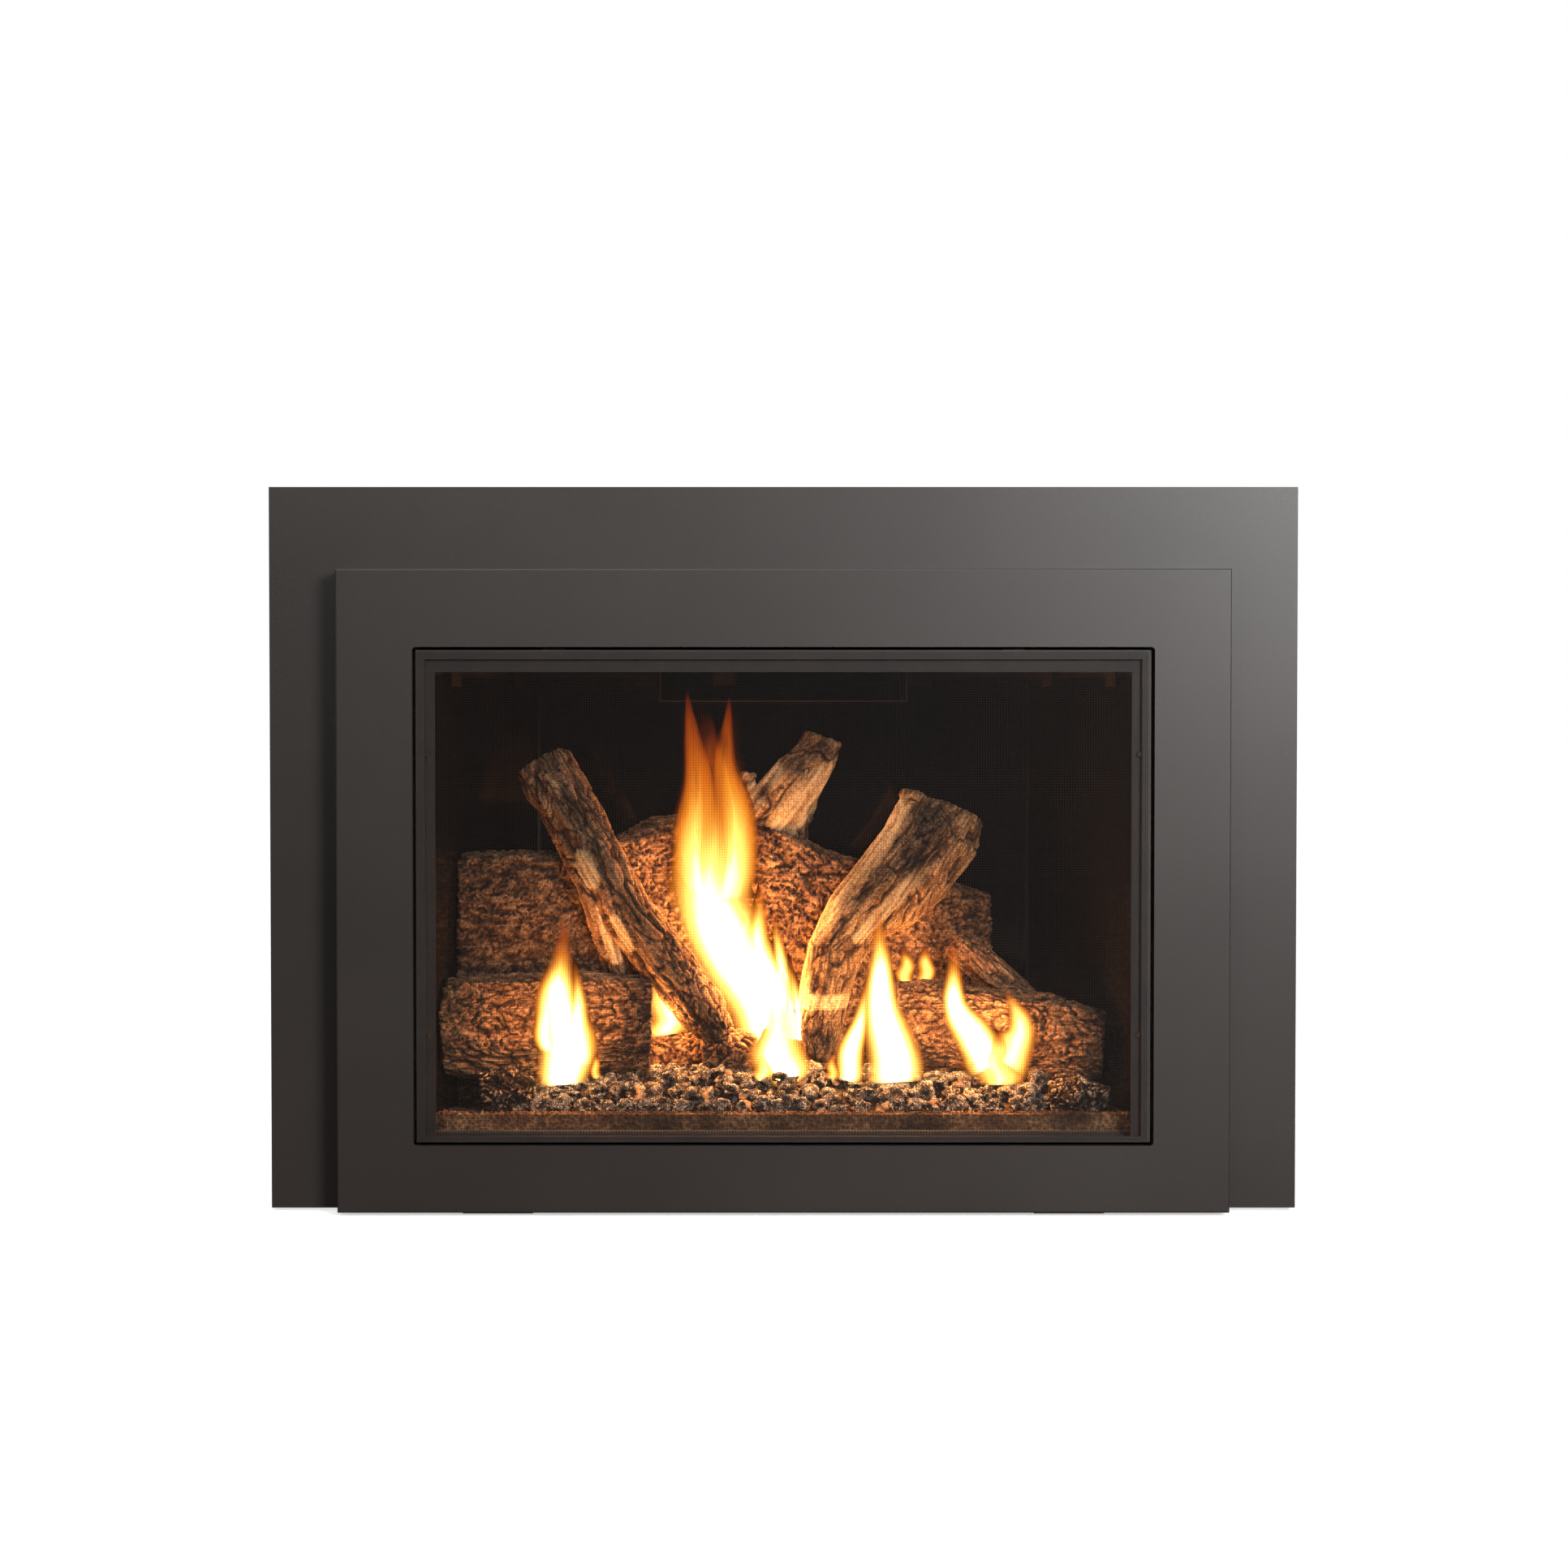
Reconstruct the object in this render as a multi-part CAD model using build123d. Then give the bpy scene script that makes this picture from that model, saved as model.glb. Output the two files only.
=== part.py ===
from build123d import *
import math
import os

# Gas fireplace insert for a masonry hearth, in millimetres.
# X runs across the front, +Y goes into the fireplace, Z is up.
# The origin is on the hearth, in the middle of the insert, in the plane of the fireplace's face.

os.makedirs("parts", exist_ok=True)

# --- driving dimensions: the front -------------------------------------------------------------
opening_width = 737.0
opening_height = 496.5
overlay_side = 76.0
overlay_head = 77.5
overlay_sill = 67.0
overlay_sheet = 2.5
overlay_depth = 30.0
opening_lip = 7.0
opening_corner = 4.0
bend_radius = 1.6
hearth_gap = 3.0
backer_side = 70.5
backer_head = 83.0
backer_sheet = 1.5
backer_return = 19.0
overlay_standoff = 32.0
front_clearance = 3.0

# --- driving dimensions: the door and the mesh screen in front of it ---------------------------
screen_wire = 0.8
screen_rim_width = 9.0
screen_rim_depth = 4.0
screen_setback = 5.2
door_front_gap = 1.0
door_sheet = 1.5
door_stile = 18.5
door_sill_rail = 5.5
door_head_rail = 21.7
glass_thickness = 5.0
gasket_thickness = 5.0
gasket_width = 8.0

# --- driving dimensions: the body --------------------------------------------------------------
casing_margin = 2.5
casing_over = 36.0
casing_depth = 400.0
casing_straight = 130.0
casing_taper = 78.0
sheet = 1.5
mouth_margin = 11.0
mouth_step = 7.0
mouth_drop = 17.5
firebox_under = 14.0
firebox_over = 2.0
firebox_flare = 7.5
firebox_taper = 89.0
firebox_back = 290.0
panel_glass = 4.0
board_thickness = 30.0
collar_outer = 75.0
collar_height = 42.0
flat_fit = 1.0
running_fit = 0.05
loose_fit = 0.3

# --- planes and sizes that follow --------------------------------------------------------------
backer_face = -backer_return
overlay_face = backer_face - overlay_standoff
overlay_back = overlay_face + overlay_depth
opening_half = opening_width / 2
opening_low = hearth_gap + overlay_sill
opening_high = opening_low + opening_height
door_half = opening_half - front_clearance
door_low = opening_low + front_clearance
door_high = opening_high - front_clearance
screen_front = overlay_face + screen_setback
screen_back = screen_front + screen_wire
rim_back = screen_back + screen_rim_depth
door_front = rim_back + door_front_gap
face_plate_front = -14.0
face_plate_back = face_plate_front + sheet
gasket_front = face_plate_front - gasket_thickness
glass_front = gasket_front - glass_thickness
casing_half = door_half + casing_margin
casing_front = -16.0
mouth_half = door_half - mouth_margin
mouth_sill = door_low + mouth_step
mouth_head = door_high - mouth_drop
firebox_floor = mouth_sill - firebox_under
firebox_ceiling = mouth_head + firebox_over
firebox_half_front = mouth_half + firebox_flare
firebox_half_back = firebox_half_front - firebox_taper
casing_height = firebox_ceiling + casing_over
board_top = firebox_floor + board_thickness
panel_taper = (firebox_half_front - firebox_half_back) / (firebox_back - face_plate_back)
panel_angle = math.degrees(math.atan(panel_taper))
panel_across = panel_glass / math.cos(math.radians(panel_angle))


# --- shared operations -------------------------------------------------------------------------
def block(x0, x1, y0, y1, z0, z1):
    """A box between two opposite corners."""
    return Pos((x0 + x1) / 2, (y0 + y1) / 2, (z0 + z1) / 2) * Box(abs(x1 - x0), abs(y1 - y0), abs(z1 - z0))


def ring(half_out, low_out, high_out, half_in, low_in, high_in, y0, y1):
    """An upright rectangular ring between two planes."""
    outer = block(-half_out, half_out, y0, y1, low_out, high_out)
    return outer - block(-half_in, half_in, y0 - 1, y1 + 1, low_in, high_in)


def rod(start, end, radius):
    """A round bar from one point to another."""
    axis = Vector(*end) - Vector(*start)
    plane = Plane(origin=start, z_dir=axis.normalized())
    return extrude(plane * Circle(radius), axis.length)


def bar(start, end, radius, sides=8):
    """A small bar or fitting with flats."""
    axis = Vector(*end) - Vector(*start)
    plane = Plane(origin=start, z_dir=axis.normalized())
    return extrude(plane * RegularPolygon(radius, sides), axis.length)


def bent_tube(points, bend, radius, steps=3):
    """A pipe, closed by its fittings, that follows a path whose corners are bent in short steps."""
    run = [Vector(*points[0])]
    for before, corner, after in zip(points, points[1:], points[2:]):
        corner = Vector(*corner)
        back = (Vector(*before) - corner).normalized()
        ahead = (Vector(*after) - corner).normalized()
        reach = bend / math.tan(math.radians(back.get_angle(ahead) / 2))
        for k in range(steps + 1):
            t = k / steps
            inner = corner * (2 * t * (1 - t))
            run.append((corner + back * reach) * (1 - t) ** 2 + inner + (corner + ahead * reach) * t**2)
    run.append(Vector(*points[-1]))
    path = Polyline(*run)
    start = Plane(origin=path @ 0, z_dir=path % 0)
    return sweep(start * RegularPolygon(radius, 8), path=path, transition=Transition.RIGHT)


def plan_prism(points, z0, z1):
    """A prism that stands on a plan outline."""
    return Pos(0, 0, z0) * extrude(make_face(Polyline(*points, close=True)), z1 - z0)


def side_prism(points, x0, x1):
    """A prism that runs along X from an outline in Y and Z."""
    plane = Plane(origin=(x0, 0, 0), z_dir=(1, 0, 0), x_dir=(0, 1, 0))
    return extrude(plane * make_face(Polyline(*points, close=True)), x1 - x0)


def both_sides(shape):
    """A shape and its mirror image across the middle."""
    return [shape, mirror(shape, about=Plane.YZ)]


def save(node, *shapes):
    """Write one node's solids."""
    solids = []
    for shape in shapes:
        solids.extend(shape.solids())
    export_step(solids[0] if len(solids) == 1 else Compound(children=solids), "parts/" + node + ".step")


def faceted(rings):
    """A closed solid with flat facets through rings of points, flat at both ends."""
    faces = [Face(Wire.make_polygon(rings[0], close=True)), Face(Wire.make_polygon(rings[-1], close=True))]
    for lower, upper in zip(rings, rings[1:]):
        for i in range(len(lower)):
            j = (i + 1) % len(lower)
            faces.append(Face(Wire.make_polygon((lower[i], lower[j], upper[j]), close=True)))
            faces.append(Face(Wire.make_polygon((lower[i], upper[j], upper[i]), close=True)))
    return Solid(Shell(faces))


def largest(shape):
    """The main solid that is left after cutting."""
    return max(shape.solids(), key=lambda solid: solid.volume)


def wall_half(y):
    """Half the firebox's width at a depth."""
    return firebox_half_front - panel_taper * (y - face_plate_back)


# --- overlay: folded steel face with returned edges --------------------------------------------
overlay_half = opening_half + overlay_side
overlay_top = opening_high + overlay_head


def overlay_shape():
    shell = block(-overlay_half, overlay_half, overlay_face, overlay_back, hearth_gap, overlay_top)
    shell = fillet(shell.faces().sort_by(Axis.Y)[0].edges(), bend_radius)
    inner_half = overlay_half - overlay_sheet
    shell -= block(-inner_half, inner_half, overlay_face + overlay_sheet, overlay_back + 1,
                   hearth_gap + overlay_sheet, overlay_top - overlay_sheet)
    lip_half = opening_half + overlay_sheet
    shell += ring(lip_half, opening_low - overlay_sheet, opening_high + overlay_sheet,
                  opening_half, opening_low, opening_high,
                  overlay_face + overlay_sheet, overlay_face + overlay_sheet + opening_lip)
    hole = block(-opening_half, opening_half, overlay_face - 5, overlay_face + 40, opening_low, opening_high)
    shell -= fillet(hole.edges().filter_by(Axis.Y), opening_corner)
    relief = 4.0
    notch = overlay_sheet + loose_fit
    for x in (-overlay_half, overlay_half - notch):
        for z in (hearth_gap, overlay_top - notch):
            shell -= block(x, x + notch, overlay_face + relief, overlay_back + 1, z, z + notch)
    return shell


# Z-folded straps are spot-welded behind the overlay; their magnets grip the backer.
magnet_x = casing_half + 50
magnet_heights = (opening_low + 80, opening_high - 26.5)
magnet_radius = 9.0
magnet_thick = 6.0
strap_width = 26.0
strap_sheet = 2.0
strap_foot = 24.0
pad_margin = 3.0
overlay_inside = overlay_face + overlay_sheet
pad_back = backer_face - magnet_thick


def magnet_strap(x, z):
    """A foot against the face, a leg to the back and a pad under the magnet."""
    low = z - strap_width / 2
    high = z + strap_width / 2
    bend = x - magnet_radius - pad_margin
    foot = block(bend - strap_foot, bend + strap_sheet, overlay_inside, overlay_inside + strap_sheet,
                 low, high)
    leg = block(bend - strap_sheet, bend, overlay_inside, pad_back, low, high)
    pad_end = x + magnet_radius + pad_margin
    pad = block(bend - strap_sheet, pad_end, pad_back - strap_sheet, pad_back, low, high)
    return foot + leg + pad


straps = [magnet_strap(magnet_x, z) for z in magnet_heights]
magnets = []
for z in magnet_heights:
    magnets += both_sides(bar((magnet_x, pad_back, z), (magnet_x, backer_face, z), magnet_radius, 20))
save("overlay_front", overlay_shape() + [half for strap in straps for half in both_sides(strap)])
save("overlay_magnets", *magnets)

# --- backer: flat frame round the insert, open at the hearth -----------------------------------
backer_half = overlay_half + backer_side
backer_top = overlay_top + backer_head
backer_gap = 4.0
cut_half = casing_half + backer_gap
cut_top = casing_height + backer_gap
backer = block(-backer_half, backer_half, backer_face, 0, hearth_gap, backer_top)
backer -= block(-backer_half + backer_sheet, backer_half - backer_sheet, backer_face + backer_sheet, 1,
                hearth_gap - 1, backer_top - backer_sheet)
backer -= block(-cut_half, cut_half, backer_face - 1, 1, hearth_gap - 1, cut_top)
save("backer_frame", backer)

# Angle strips on the casing carry the backer; hexagon screws hold them.
strip_low = 40.0
strip_high = casing_height
strip_leg = 36.0
strip_flange = 24.0
strip_front = backer_face + backer_sheet
strip_back = strip_front + strip_leg
strip_web = strip_front + sheet
side_strip = block(casing_half, casing_half + sheet, strip_front, strip_back, strip_low, strip_high)
side_strip += block(casing_half, casing_half + strip_flange, strip_front, strip_web, strip_low, strip_high)
top_half = casing_half - 68
top_strip = block(-top_half, top_half, strip_front, strip_back, casing_height, casing_height + sheet)
top_strip += block(-top_half, top_half, strip_front, strip_web, casing_height, casing_height + strip_flange)
save("backer_strips", *both_sides(side_strip), top_strip)

screw_across = 8.0
screw_head = 3.5


def hex_screw(origin, direction):
    """A hexagon head seated on a plane, without its hidden shank."""
    outline = RegularPolygon(screw_across / 2, 6, major_radius=False)
    return extrude(Plane(origin=origin, z_dir=direction) * outline, screw_head)


screw_line = strip_front + strip_leg * 0.65
strip_screws = []
for z in (strip_low + 50, (strip_low + strip_high) / 2, strip_high - 74):
    strip_screws += both_sides(hex_screw((casing_half + sheet, screw_line, z), (1, 0, 0)))
for x in (60 - top_half, 0.0, top_half - 60):
    strip_screws.append(hex_screw((x, screw_line, casing_height + sheet), (0, 0, 1)))
save("strip_screws", *strip_screws)

# --- outer casing: tapered wrap with a base pan ------------------------------------------------
back_half = casing_half - casing_taper
upper_wall = casing_height - sheet


def casing_plan(inset, y_front):
    half_front = casing_half - inset
    half_back = back_half - inset
    rear = casing_depth - inset
    return ((-half_front, y_front), (-half_front, casing_straight), (-half_back, rear),
            (half_back, rear), (half_front, casing_straight), (half_front, y_front))


casing = plan_prism(casing_plan(0, casing_front), 0, upper_wall)
casing -= plan_prism(casing_plan(sheet, casing_front - 1), sheet, upper_wall + 1)
gas_entry = (60.0, 34.0)
gas_hole_radius = 16.0
casing -= rod((casing_half - 10, *gas_entry), (casing_half + 10, *gas_entry), gas_hole_radius)

exhaust_x = -62.0
intake_x = 62.0
collar_y = 235.0
collar_hole = collar_outer / 2 + flat_fit
top_lip = 4.0
top_panel = plan_prism(casing_plan(0, casing_front), upper_wall, casing_height)
top_panel += block(-casing_half + 2 * sheet, casing_half - 2 * sheet, casing_front, casing_front + sheet,
                   upper_wall - top_lip, upper_wall)
for x in (exhaust_x, intake_x):
    top_panel -= rod((x, collar_y, upper_wall - 5), (x, collar_y, casing_height + 5), collar_hole)
save("casing_top", top_panel)

# Ledges spot-welded to the base pan carry the overlay's lower return.
ledge_width = 70.0
ledge_plate = hearth_gap - sheet
ledge_left = 250.0
ledge_right = ledge_left + ledge_width
ledge_rear = 30.0
ledge_stop = hearth_gap + 14.0
ledge = block(ledge_left, ledge_right, overlay_face + 6, ledge_rear, sheet, hearth_gap)
ledge += block(ledge_left, ledge_right, ledge_rear - ledge_plate, ledge_rear, hearth_gap, ledge_stop)
save("outer_casing", casing + both_sides(ledge))

# --- firebox: welded tapered shell and its face plate ------------------------------------------
shell_plan = ((-firebox_half_front, face_plate_back), (-firebox_half_back, firebox_back),
              (firebox_half_back, firebox_back), (firebox_half_front, face_plate_back))
skin = sheet / math.cos(math.radians(panel_angle))
outer_front = firebox_half_front + skin
outer_back = firebox_half_back + skin
outer_plan = ((-outer_front, face_plate_back), (-outer_back, firebox_back + sheet),
              (outer_back, firebox_back + sheet), (outer_front, face_plate_back))
shell = plan_prism(outer_plan, firebox_floor - sheet, firebox_ceiling + sheet)
before_plate = face_plate_back - 1
mouth_plan = ((-firebox_half_front, before_plate), *shell_plan, (firebox_half_front, before_plate))
shell -= plan_prism(mouth_plan, firebox_floor, firebox_ceiling)
exhaust_hole = 36.0
venturi_x = 150.0
supply_y = 252.0
supply_hole = 7.0
intake_window = (22.0, 102.0)
shell -= rod((exhaust_x, collar_y, firebox_ceiling - 5), (exhaust_x, collar_y, firebox_ceiling + 5),
             exhaust_hole)
shell -= rod((venturi_x, supply_y, firebox_floor - 5), (venturi_x, supply_y, firebox_floor + 5),
             supply_hole)
shell -= block(intake_window[0] + 6, intake_window[1] - 6, firebox_back - 5, firebox_back + 5,
               firebox_floor + 36, firebox_floor + 56)
save("firebox_shell", shell)

plate_half = casing_half - sheet - 0.1
plate_low = firebox_floor - 8
plate_high = firebox_ceiling + 18
save("firebox_face", ring(plate_half, plate_low, plate_high, mouth_half, mouth_sill, mouth_head,
                          face_plate_front, face_plate_back))

# --- reflective liner panels -------------------------------------------------------------------
panel_front = 2.0
panel_back = 283.0
panel_top = firebox_ceiling - 12


def liner_outline(side):
    front = wall_half(panel_front)
    back = wall_half(panel_back)
    points = ((front, panel_front), (back, panel_back),
              (back - panel_across, panel_back), (front - panel_across, panel_front))
    return [(side * x, y) for x, y in points]


save("liner_panel_left", plan_prism(liner_outline(-1), firebox_floor, panel_top))
save("liner_panel_right", plan_prism(liner_outline(1), firebox_floor, panel_top))
back_liner_half = wall_half(firebox_back) - panel_across - flat_fit - 1
save("liner_panel_back", block(-back_liner_half, back_liner_half, firebox_back - panel_glass, firebox_back,
                               firebox_floor, panel_top))

# Angle clips under the ceiling keep the panels' top edges against the walls.
clip_length = 26.0
side_clips = (50.0, 220.0)
back_clip = 150.0


def liner_clip(x, y, turn):
    hook = block(-clip_length / 2, clip_length / 2, -9, 0, panel_top - 8, panel_top + sheet)
    hook -= block(-clip_length, clip_length, -9 + sheet, 1, panel_top - 9, panel_top)
    riser = block(-clip_length / 2, clip_length / 2, -9, -9 + sheet, panel_top, firebox_ceiling)
    return Pos(x, y, 0) * Rot(0, 0, turn) * (hook + riser)


clips = []
for y in side_clips:
    clips += both_sides(liner_clip(wall_half(y) - loose_fit, y, -90 + panel_angle))
for x in (-back_clip, back_clip):
    clips.append(liner_clip(x, firebox_back - loose_fit, 0))
save("liner_clips", *clips)

# --- ceiling baffle and flue restrictor --------------------------------------------------------
baffle_low = firebox_ceiling - 36
baffle_half = 130.0
baffle_front = 120.0
baffle_back = 278.0
baffle = block(-baffle_half, baffle_half, baffle_front, baffle_back, baffle_low, baffle_low + sheet)
for x in (-baffle_half, baffle_half - sheet):
    baffle += block(x, x + sheet, baffle_front, baffle_back, baffle_low, firebox_ceiling)
save("ceiling_baffle", baffle)

restrictor_half = 40.0
restrictor_low = firebox_ceiling - 3.0
guide_x = restrictor_half + loose_fit
guide_front = 110.0
guide_back = baffle_back - 2
guide_low = restrictor_low - sheet


def restrictor_guide(side):
    inner = exhaust_x + side * guide_x
    web = block(inner, inner + side * sheet, guide_front, guide_back, guide_low, firebox_ceiling)
    shelf = block(inner, inner - side * 8, guide_front, guide_back, guide_low, restrictor_low - loose_fit)
    return web + shelf


save("restrictor_guides", restrictor_guide(-1), restrictor_guide(1))
restrictor_front = 118.0
restrictor_length = 76.0
pull_half = 12.0
pull_front = restrictor_front - 6
pull_left = exhaust_x - pull_half
pull_right = exhaust_x + pull_half
pull_low = restrictor_low - 16
plate_top = restrictor_low + sheet
restrictor = block(exhaust_x - restrictor_half, exhaust_x + restrictor_half,
                   restrictor_front, restrictor_front + restrictor_length, restrictor_low, plate_top)
restrictor += block(pull_left, pull_right, pull_front, restrictor_front, restrictor_low, plate_top)
restrictor += block(pull_left, pull_right, pull_front, pull_front + sheet, pull_low, restrictor_low)
save("flue_restrictor", restrictor)

# --- flue collars and ducts over the firebox ---------------------------------------------------
duct_wall = 1.0
duct_low = firebox_ceiling + sheet
collar_bore = collar_outer / 2 - duct_wall
collar_flange = 9.0


def collar(x, low):
    """A flue spigot welded to a square plate that lies on the casing's top."""
    top = casing_height + collar_height
    tube = rod((x, collar_y, low), (x, collar_y, top), collar_outer / 2)
    wide = collar_outer / 2 + collar_flange
    flange = block(x - wide, x + wide, collar_y - wide, collar_y + wide,
                   casing_height, casing_height + duct_wall)
    return tube + flange - rod((x, collar_y, low - 1), (x, collar_y, top + 1), collar_bore)


save("exhaust_collar", collar(exhaust_x, duct_low))
intake_top = duct_low + 22.0
save("intake_collar", collar(intake_x, intake_top))

duct_back = 340.0
duct_foot = 95.0
duct_front = 190.0
duct_rise = firebox_back + sheet
duct_left, duct_right = intake_window
bore_left = duct_left + duct_wall
bore_right = duct_right - duct_wall
bore_back = duct_back - duct_wall
bore_top = intake_top - duct_wall
intake_duct = block(duct_left, duct_right, duct_front, duct_back, duct_low, intake_top)
intake_duct += block(duct_left, duct_right, duct_rise, duct_back, duct_foot, intake_top)
hollow = block(bore_left, bore_right, duct_front + duct_wall, bore_back, duct_low + duct_wall, bore_top)
hollow += block(bore_left, bore_right, duct_rise - 1, bore_back, duct_foot + duct_wall, duct_low - 8)
hollow += block(bore_left, bore_right, duct_rise + duct_wall, bore_back, duct_foot + duct_wall, bore_top)
hollow += rod((intake_x, collar_y, intake_top - 5), (intake_x, collar_y, intake_top + 5), collar_bore)
save("intake_duct", intake_duct - hollow)

# --- door: steel frame, ceramic glass, gasket and clips ----------------------------------------
door_inner_half = door_half - door_stile
door_inner_low = door_low + door_sill_rail
door_inner_high = door_high - door_head_rail
web_half = door_half - door_sheet
door_frame = ring(door_half, door_low, door_high, web_half, door_low + door_sheet, door_high - door_sheet,
                  door_front, gasket_front - 0.2)
door_frame += ring(door_half, door_low, door_high, door_inner_half, door_inner_low, door_inner_high,
                   door_front, door_front + door_sheet)
rest_lip = 7.0
door_frame += ring(web_half, door_low + door_sheet, door_high - door_sheet,
                   web_half - rest_lip, door_inner_low, door_high - door_sheet - rest_lip,
                   glass_front - door_sheet, glass_front)
pin_radius = 2.5
pin_hole = pin_radius + 2 * loose_fit
pin_x = door_half - 11.0
pin_heights = (door_low + 107, door_high - 103.5)
for z in pin_heights:
    for x in (-pin_x, pin_x):
        door_frame -= bar((x, door_front - 1, z), (x, door_front + 3, z), pin_hole)
save("door_frame", door_frame)
glass_edge = 0.5
save("door_glass", block(-web_half + glass_edge, web_half - glass_edge, glass_front, gasket_front,
                         door_low + door_sheet + glass_edge, door_high - door_sheet - glass_edge))
gasket_half = web_half - glass_edge
gasket_low = door_low + door_sheet + 0.3
gasket_high = door_high - door_sheet - glass_edge
save("door_gasket", ring(gasket_half, gasket_low, gasket_high, gasket_half - gasket_width, mouth_sill + 0.6,
                         gasket_high - gasket_width, gasket_front, face_plate_front))

# Leaf clips on the face plate grip the door's rim above and below.
leaf = 0.8
leaf_width = 22.0
leaf_reach = 20.0
clip_x = 230.0


def door_clip(x, rim, way):
    """A tongue along the rim and a foot welded to the face plate."""
    left = x - leaf_width / 2
    right = x + leaf_width / 2
    tongue = block(left, right, face_plate_front - leaf_reach, face_plate_front, rim, rim + way * leaf)
    foot_end = plate_high if way > 0 else plate_low + 1
    foot = block(left, right, face_plate_front - leaf, face_plate_front, rim, foot_end)
    return tongue + foot


door_clips = []
for rim, way in ((door_high, 1), (door_low, -1)):
    door_clips += both_sides(door_clip(clip_x, rim, way))
save("door_clips", *door_clips)

# --- screen: woven wire on a channel rim, hung on the door's front -----------------------------
screen_rim = ring(door_half, door_low, door_high, door_half - screen_rim_width, door_low + door_sill_rail,
                  door_high - screen_rim_width, screen_back, rim_back)
for z in pin_heights:
    screen_rim += both_sides(bar((pin_x, rim_back - 2, z), (pin_x, door_front + 6, z), pin_radius))
save("screen_rim", screen_rim)

mesh_columns = 8
mesh_rows = 6
strand = 1.6
mesh_edge = 6.0
mesh = block(-door_half, door_half, screen_front, screen_back, door_low, door_high)
column_pitch = (2 * door_half - 2 * mesh_edge) / mesh_columns
row_pitch = (door_high - door_low - 2 * mesh_edge) / mesh_rows
window = Rectangle(column_pitch - strand, row_pitch - strand)
first_column = -door_half + mesh_edge + column_pitch / 2
first_row = door_low + mesh_edge + row_pitch / 2
windows = Sketch() + [Pos(first_column + column_pitch * i, first_row + row_pitch * j) * window
                      for i in range(mesh_columns) for j in range(mesh_rows)]
behind_mesh = Plane(origin=(0, screen_back + 1, 0), z_dir=(0, -1, 0), x_dir=(1, 0, 0))
mesh -= extrude(behind_mesh * windows, screen_wire + 2)
save("screen_mesh", mesh)

# --- burner: ported pan, mixing tube, air shutter and orifice ----------------------------------
pan_left = -265.0
pan_right = 265.0
pan_front = 70.0
pan_back = 150.0
pan_sheet = 1.2
pan = block(pan_left, pan_right, pan_front, pan_back, firebox_floor, board_top)
pan -= block(pan_left + pan_sheet, pan_right - pan_sheet, pan_front + pan_sheet, pan_back - pan_sheet,
             firebox_floor + pan_sheet, board_top - pan_sheet)
tube_radius = 12.0
tube_bore = 10.8
tube_z = (firebox_floor + board_top) / 2
pan -= rod((venturi_x, pan_back - 5, tube_z), (venturi_x, pan_back + 5, tube_z), tube_bore)
port_rows = (82.0, 126.0)
port_count = 9
port_pitch = 56.0
port_first = -port_pitch * (port_count - 1) / 2
port_half_length = 10.0
port_half_width = 1.2
ports = []
for row in port_rows:
    for n in range(port_count):
        x = port_first + port_pitch * n
        ports.append(block(x - port_half_length, x + port_half_length,
                           row - port_half_width, row + port_half_width, board_top - 4, board_top + 1))
pan -= ports

shutter_start = 214.0
shutter_end = 234.0
mixing_tube = rod((venturi_x, pan_back, tube_z), (venturi_x, shutter_end + 4, tube_z), tube_radius)
mixing_tube -= rod((venturi_x, pan_back - 1, tube_z), (venturi_x, shutter_end + 5, tube_z), tube_bore)


def air_windows(radius, turn=0.0):
    """Two opposite wedges across the tube, where it draws its air."""
    plane = Plane(origin=(venturi_x, shutter_start + 5, tube_z), z_dir=(0, 1, 0), x_dir=(1, 0, 0))
    wedge = make_face(Polyline((0, 0), (radius, -radius * 0.5), (radius, radius * 0.5), close=True))
    length = shutter_end - shutter_start - 10
    return [extrude(plane * (Rot(0, 0, turn + half) * wedge), length) for half in (0, 180)]


window_reach = tube_radius + 8
save("burner_pan", pan + (mixing_tube - air_windows(window_reach)))
shutter_inner = tube_radius + running_fit
shutter_outer = shutter_inner + 1.0
shutter = rod((venturi_x, shutter_start, tube_z), (venturi_x, shutter_end, tube_z), shutter_outer)
shutter -= rod((venturi_x, shutter_start - 1, tube_z), (venturi_x, shutter_end + 1, tube_z), shutter_inner)
shutter_turn = 30.0
shutter -= air_windows(window_reach, shutter_turn)
shutter += block(venturi_x - 5, venturi_x + 5, shutter_end - 3, shutter_end - 1.6,
                 tube_z + shutter_inner + 0.4, board_top + 10)
save("air_shutter", shutter)

orifice_start = shutter_end + 4
orifice = bar((venturi_x, orifice_start, tube_z), (venturi_x, supply_y + 8, tube_z), tube_bore - 1, 6)
orifice += bar((venturi_x, orifice_start - 8, tube_z), (venturi_x, orifice_start, tube_z), 4.5)
orifice += rod((venturi_x, supply_y, firebox_floor - 8), (venturi_x, supply_y, tube_z), supply_hole - 0.5)
orifice += bar((venturi_x, supply_y, firebox_floor), (venturi_x, supply_y, firebox_floor + 3),
               supply_hole + 4, 6)
save("orifice_fitting", orifice)

# --- moulded fibre floor with a recess for the burner ------------------------------------------
board_front = -10.0
board_back = 284.0
board_gap = panel_across + flat_fit
front_corner = wall_half(board_front) - board_gap
back_corner = wall_half(board_back) - board_gap
board = plan_prism(((-front_corner, board_front), (-back_corner, board_back),
                    (back_corner, board_back), (front_corner, board_front)), firebox_floor, board_top)
board -= block(pan_left - flat_fit, pan_right + flat_fit, pan_front - flat_fit, pan_back + flat_fit,
               firebox_floor - 1, board_top + 1)
board -= block(venturi_x - 20, venturi_x + 20, pan_back, supply_y + 14, firebox_floor - 1, board_top + 1)
save("floor_board", board)

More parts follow.
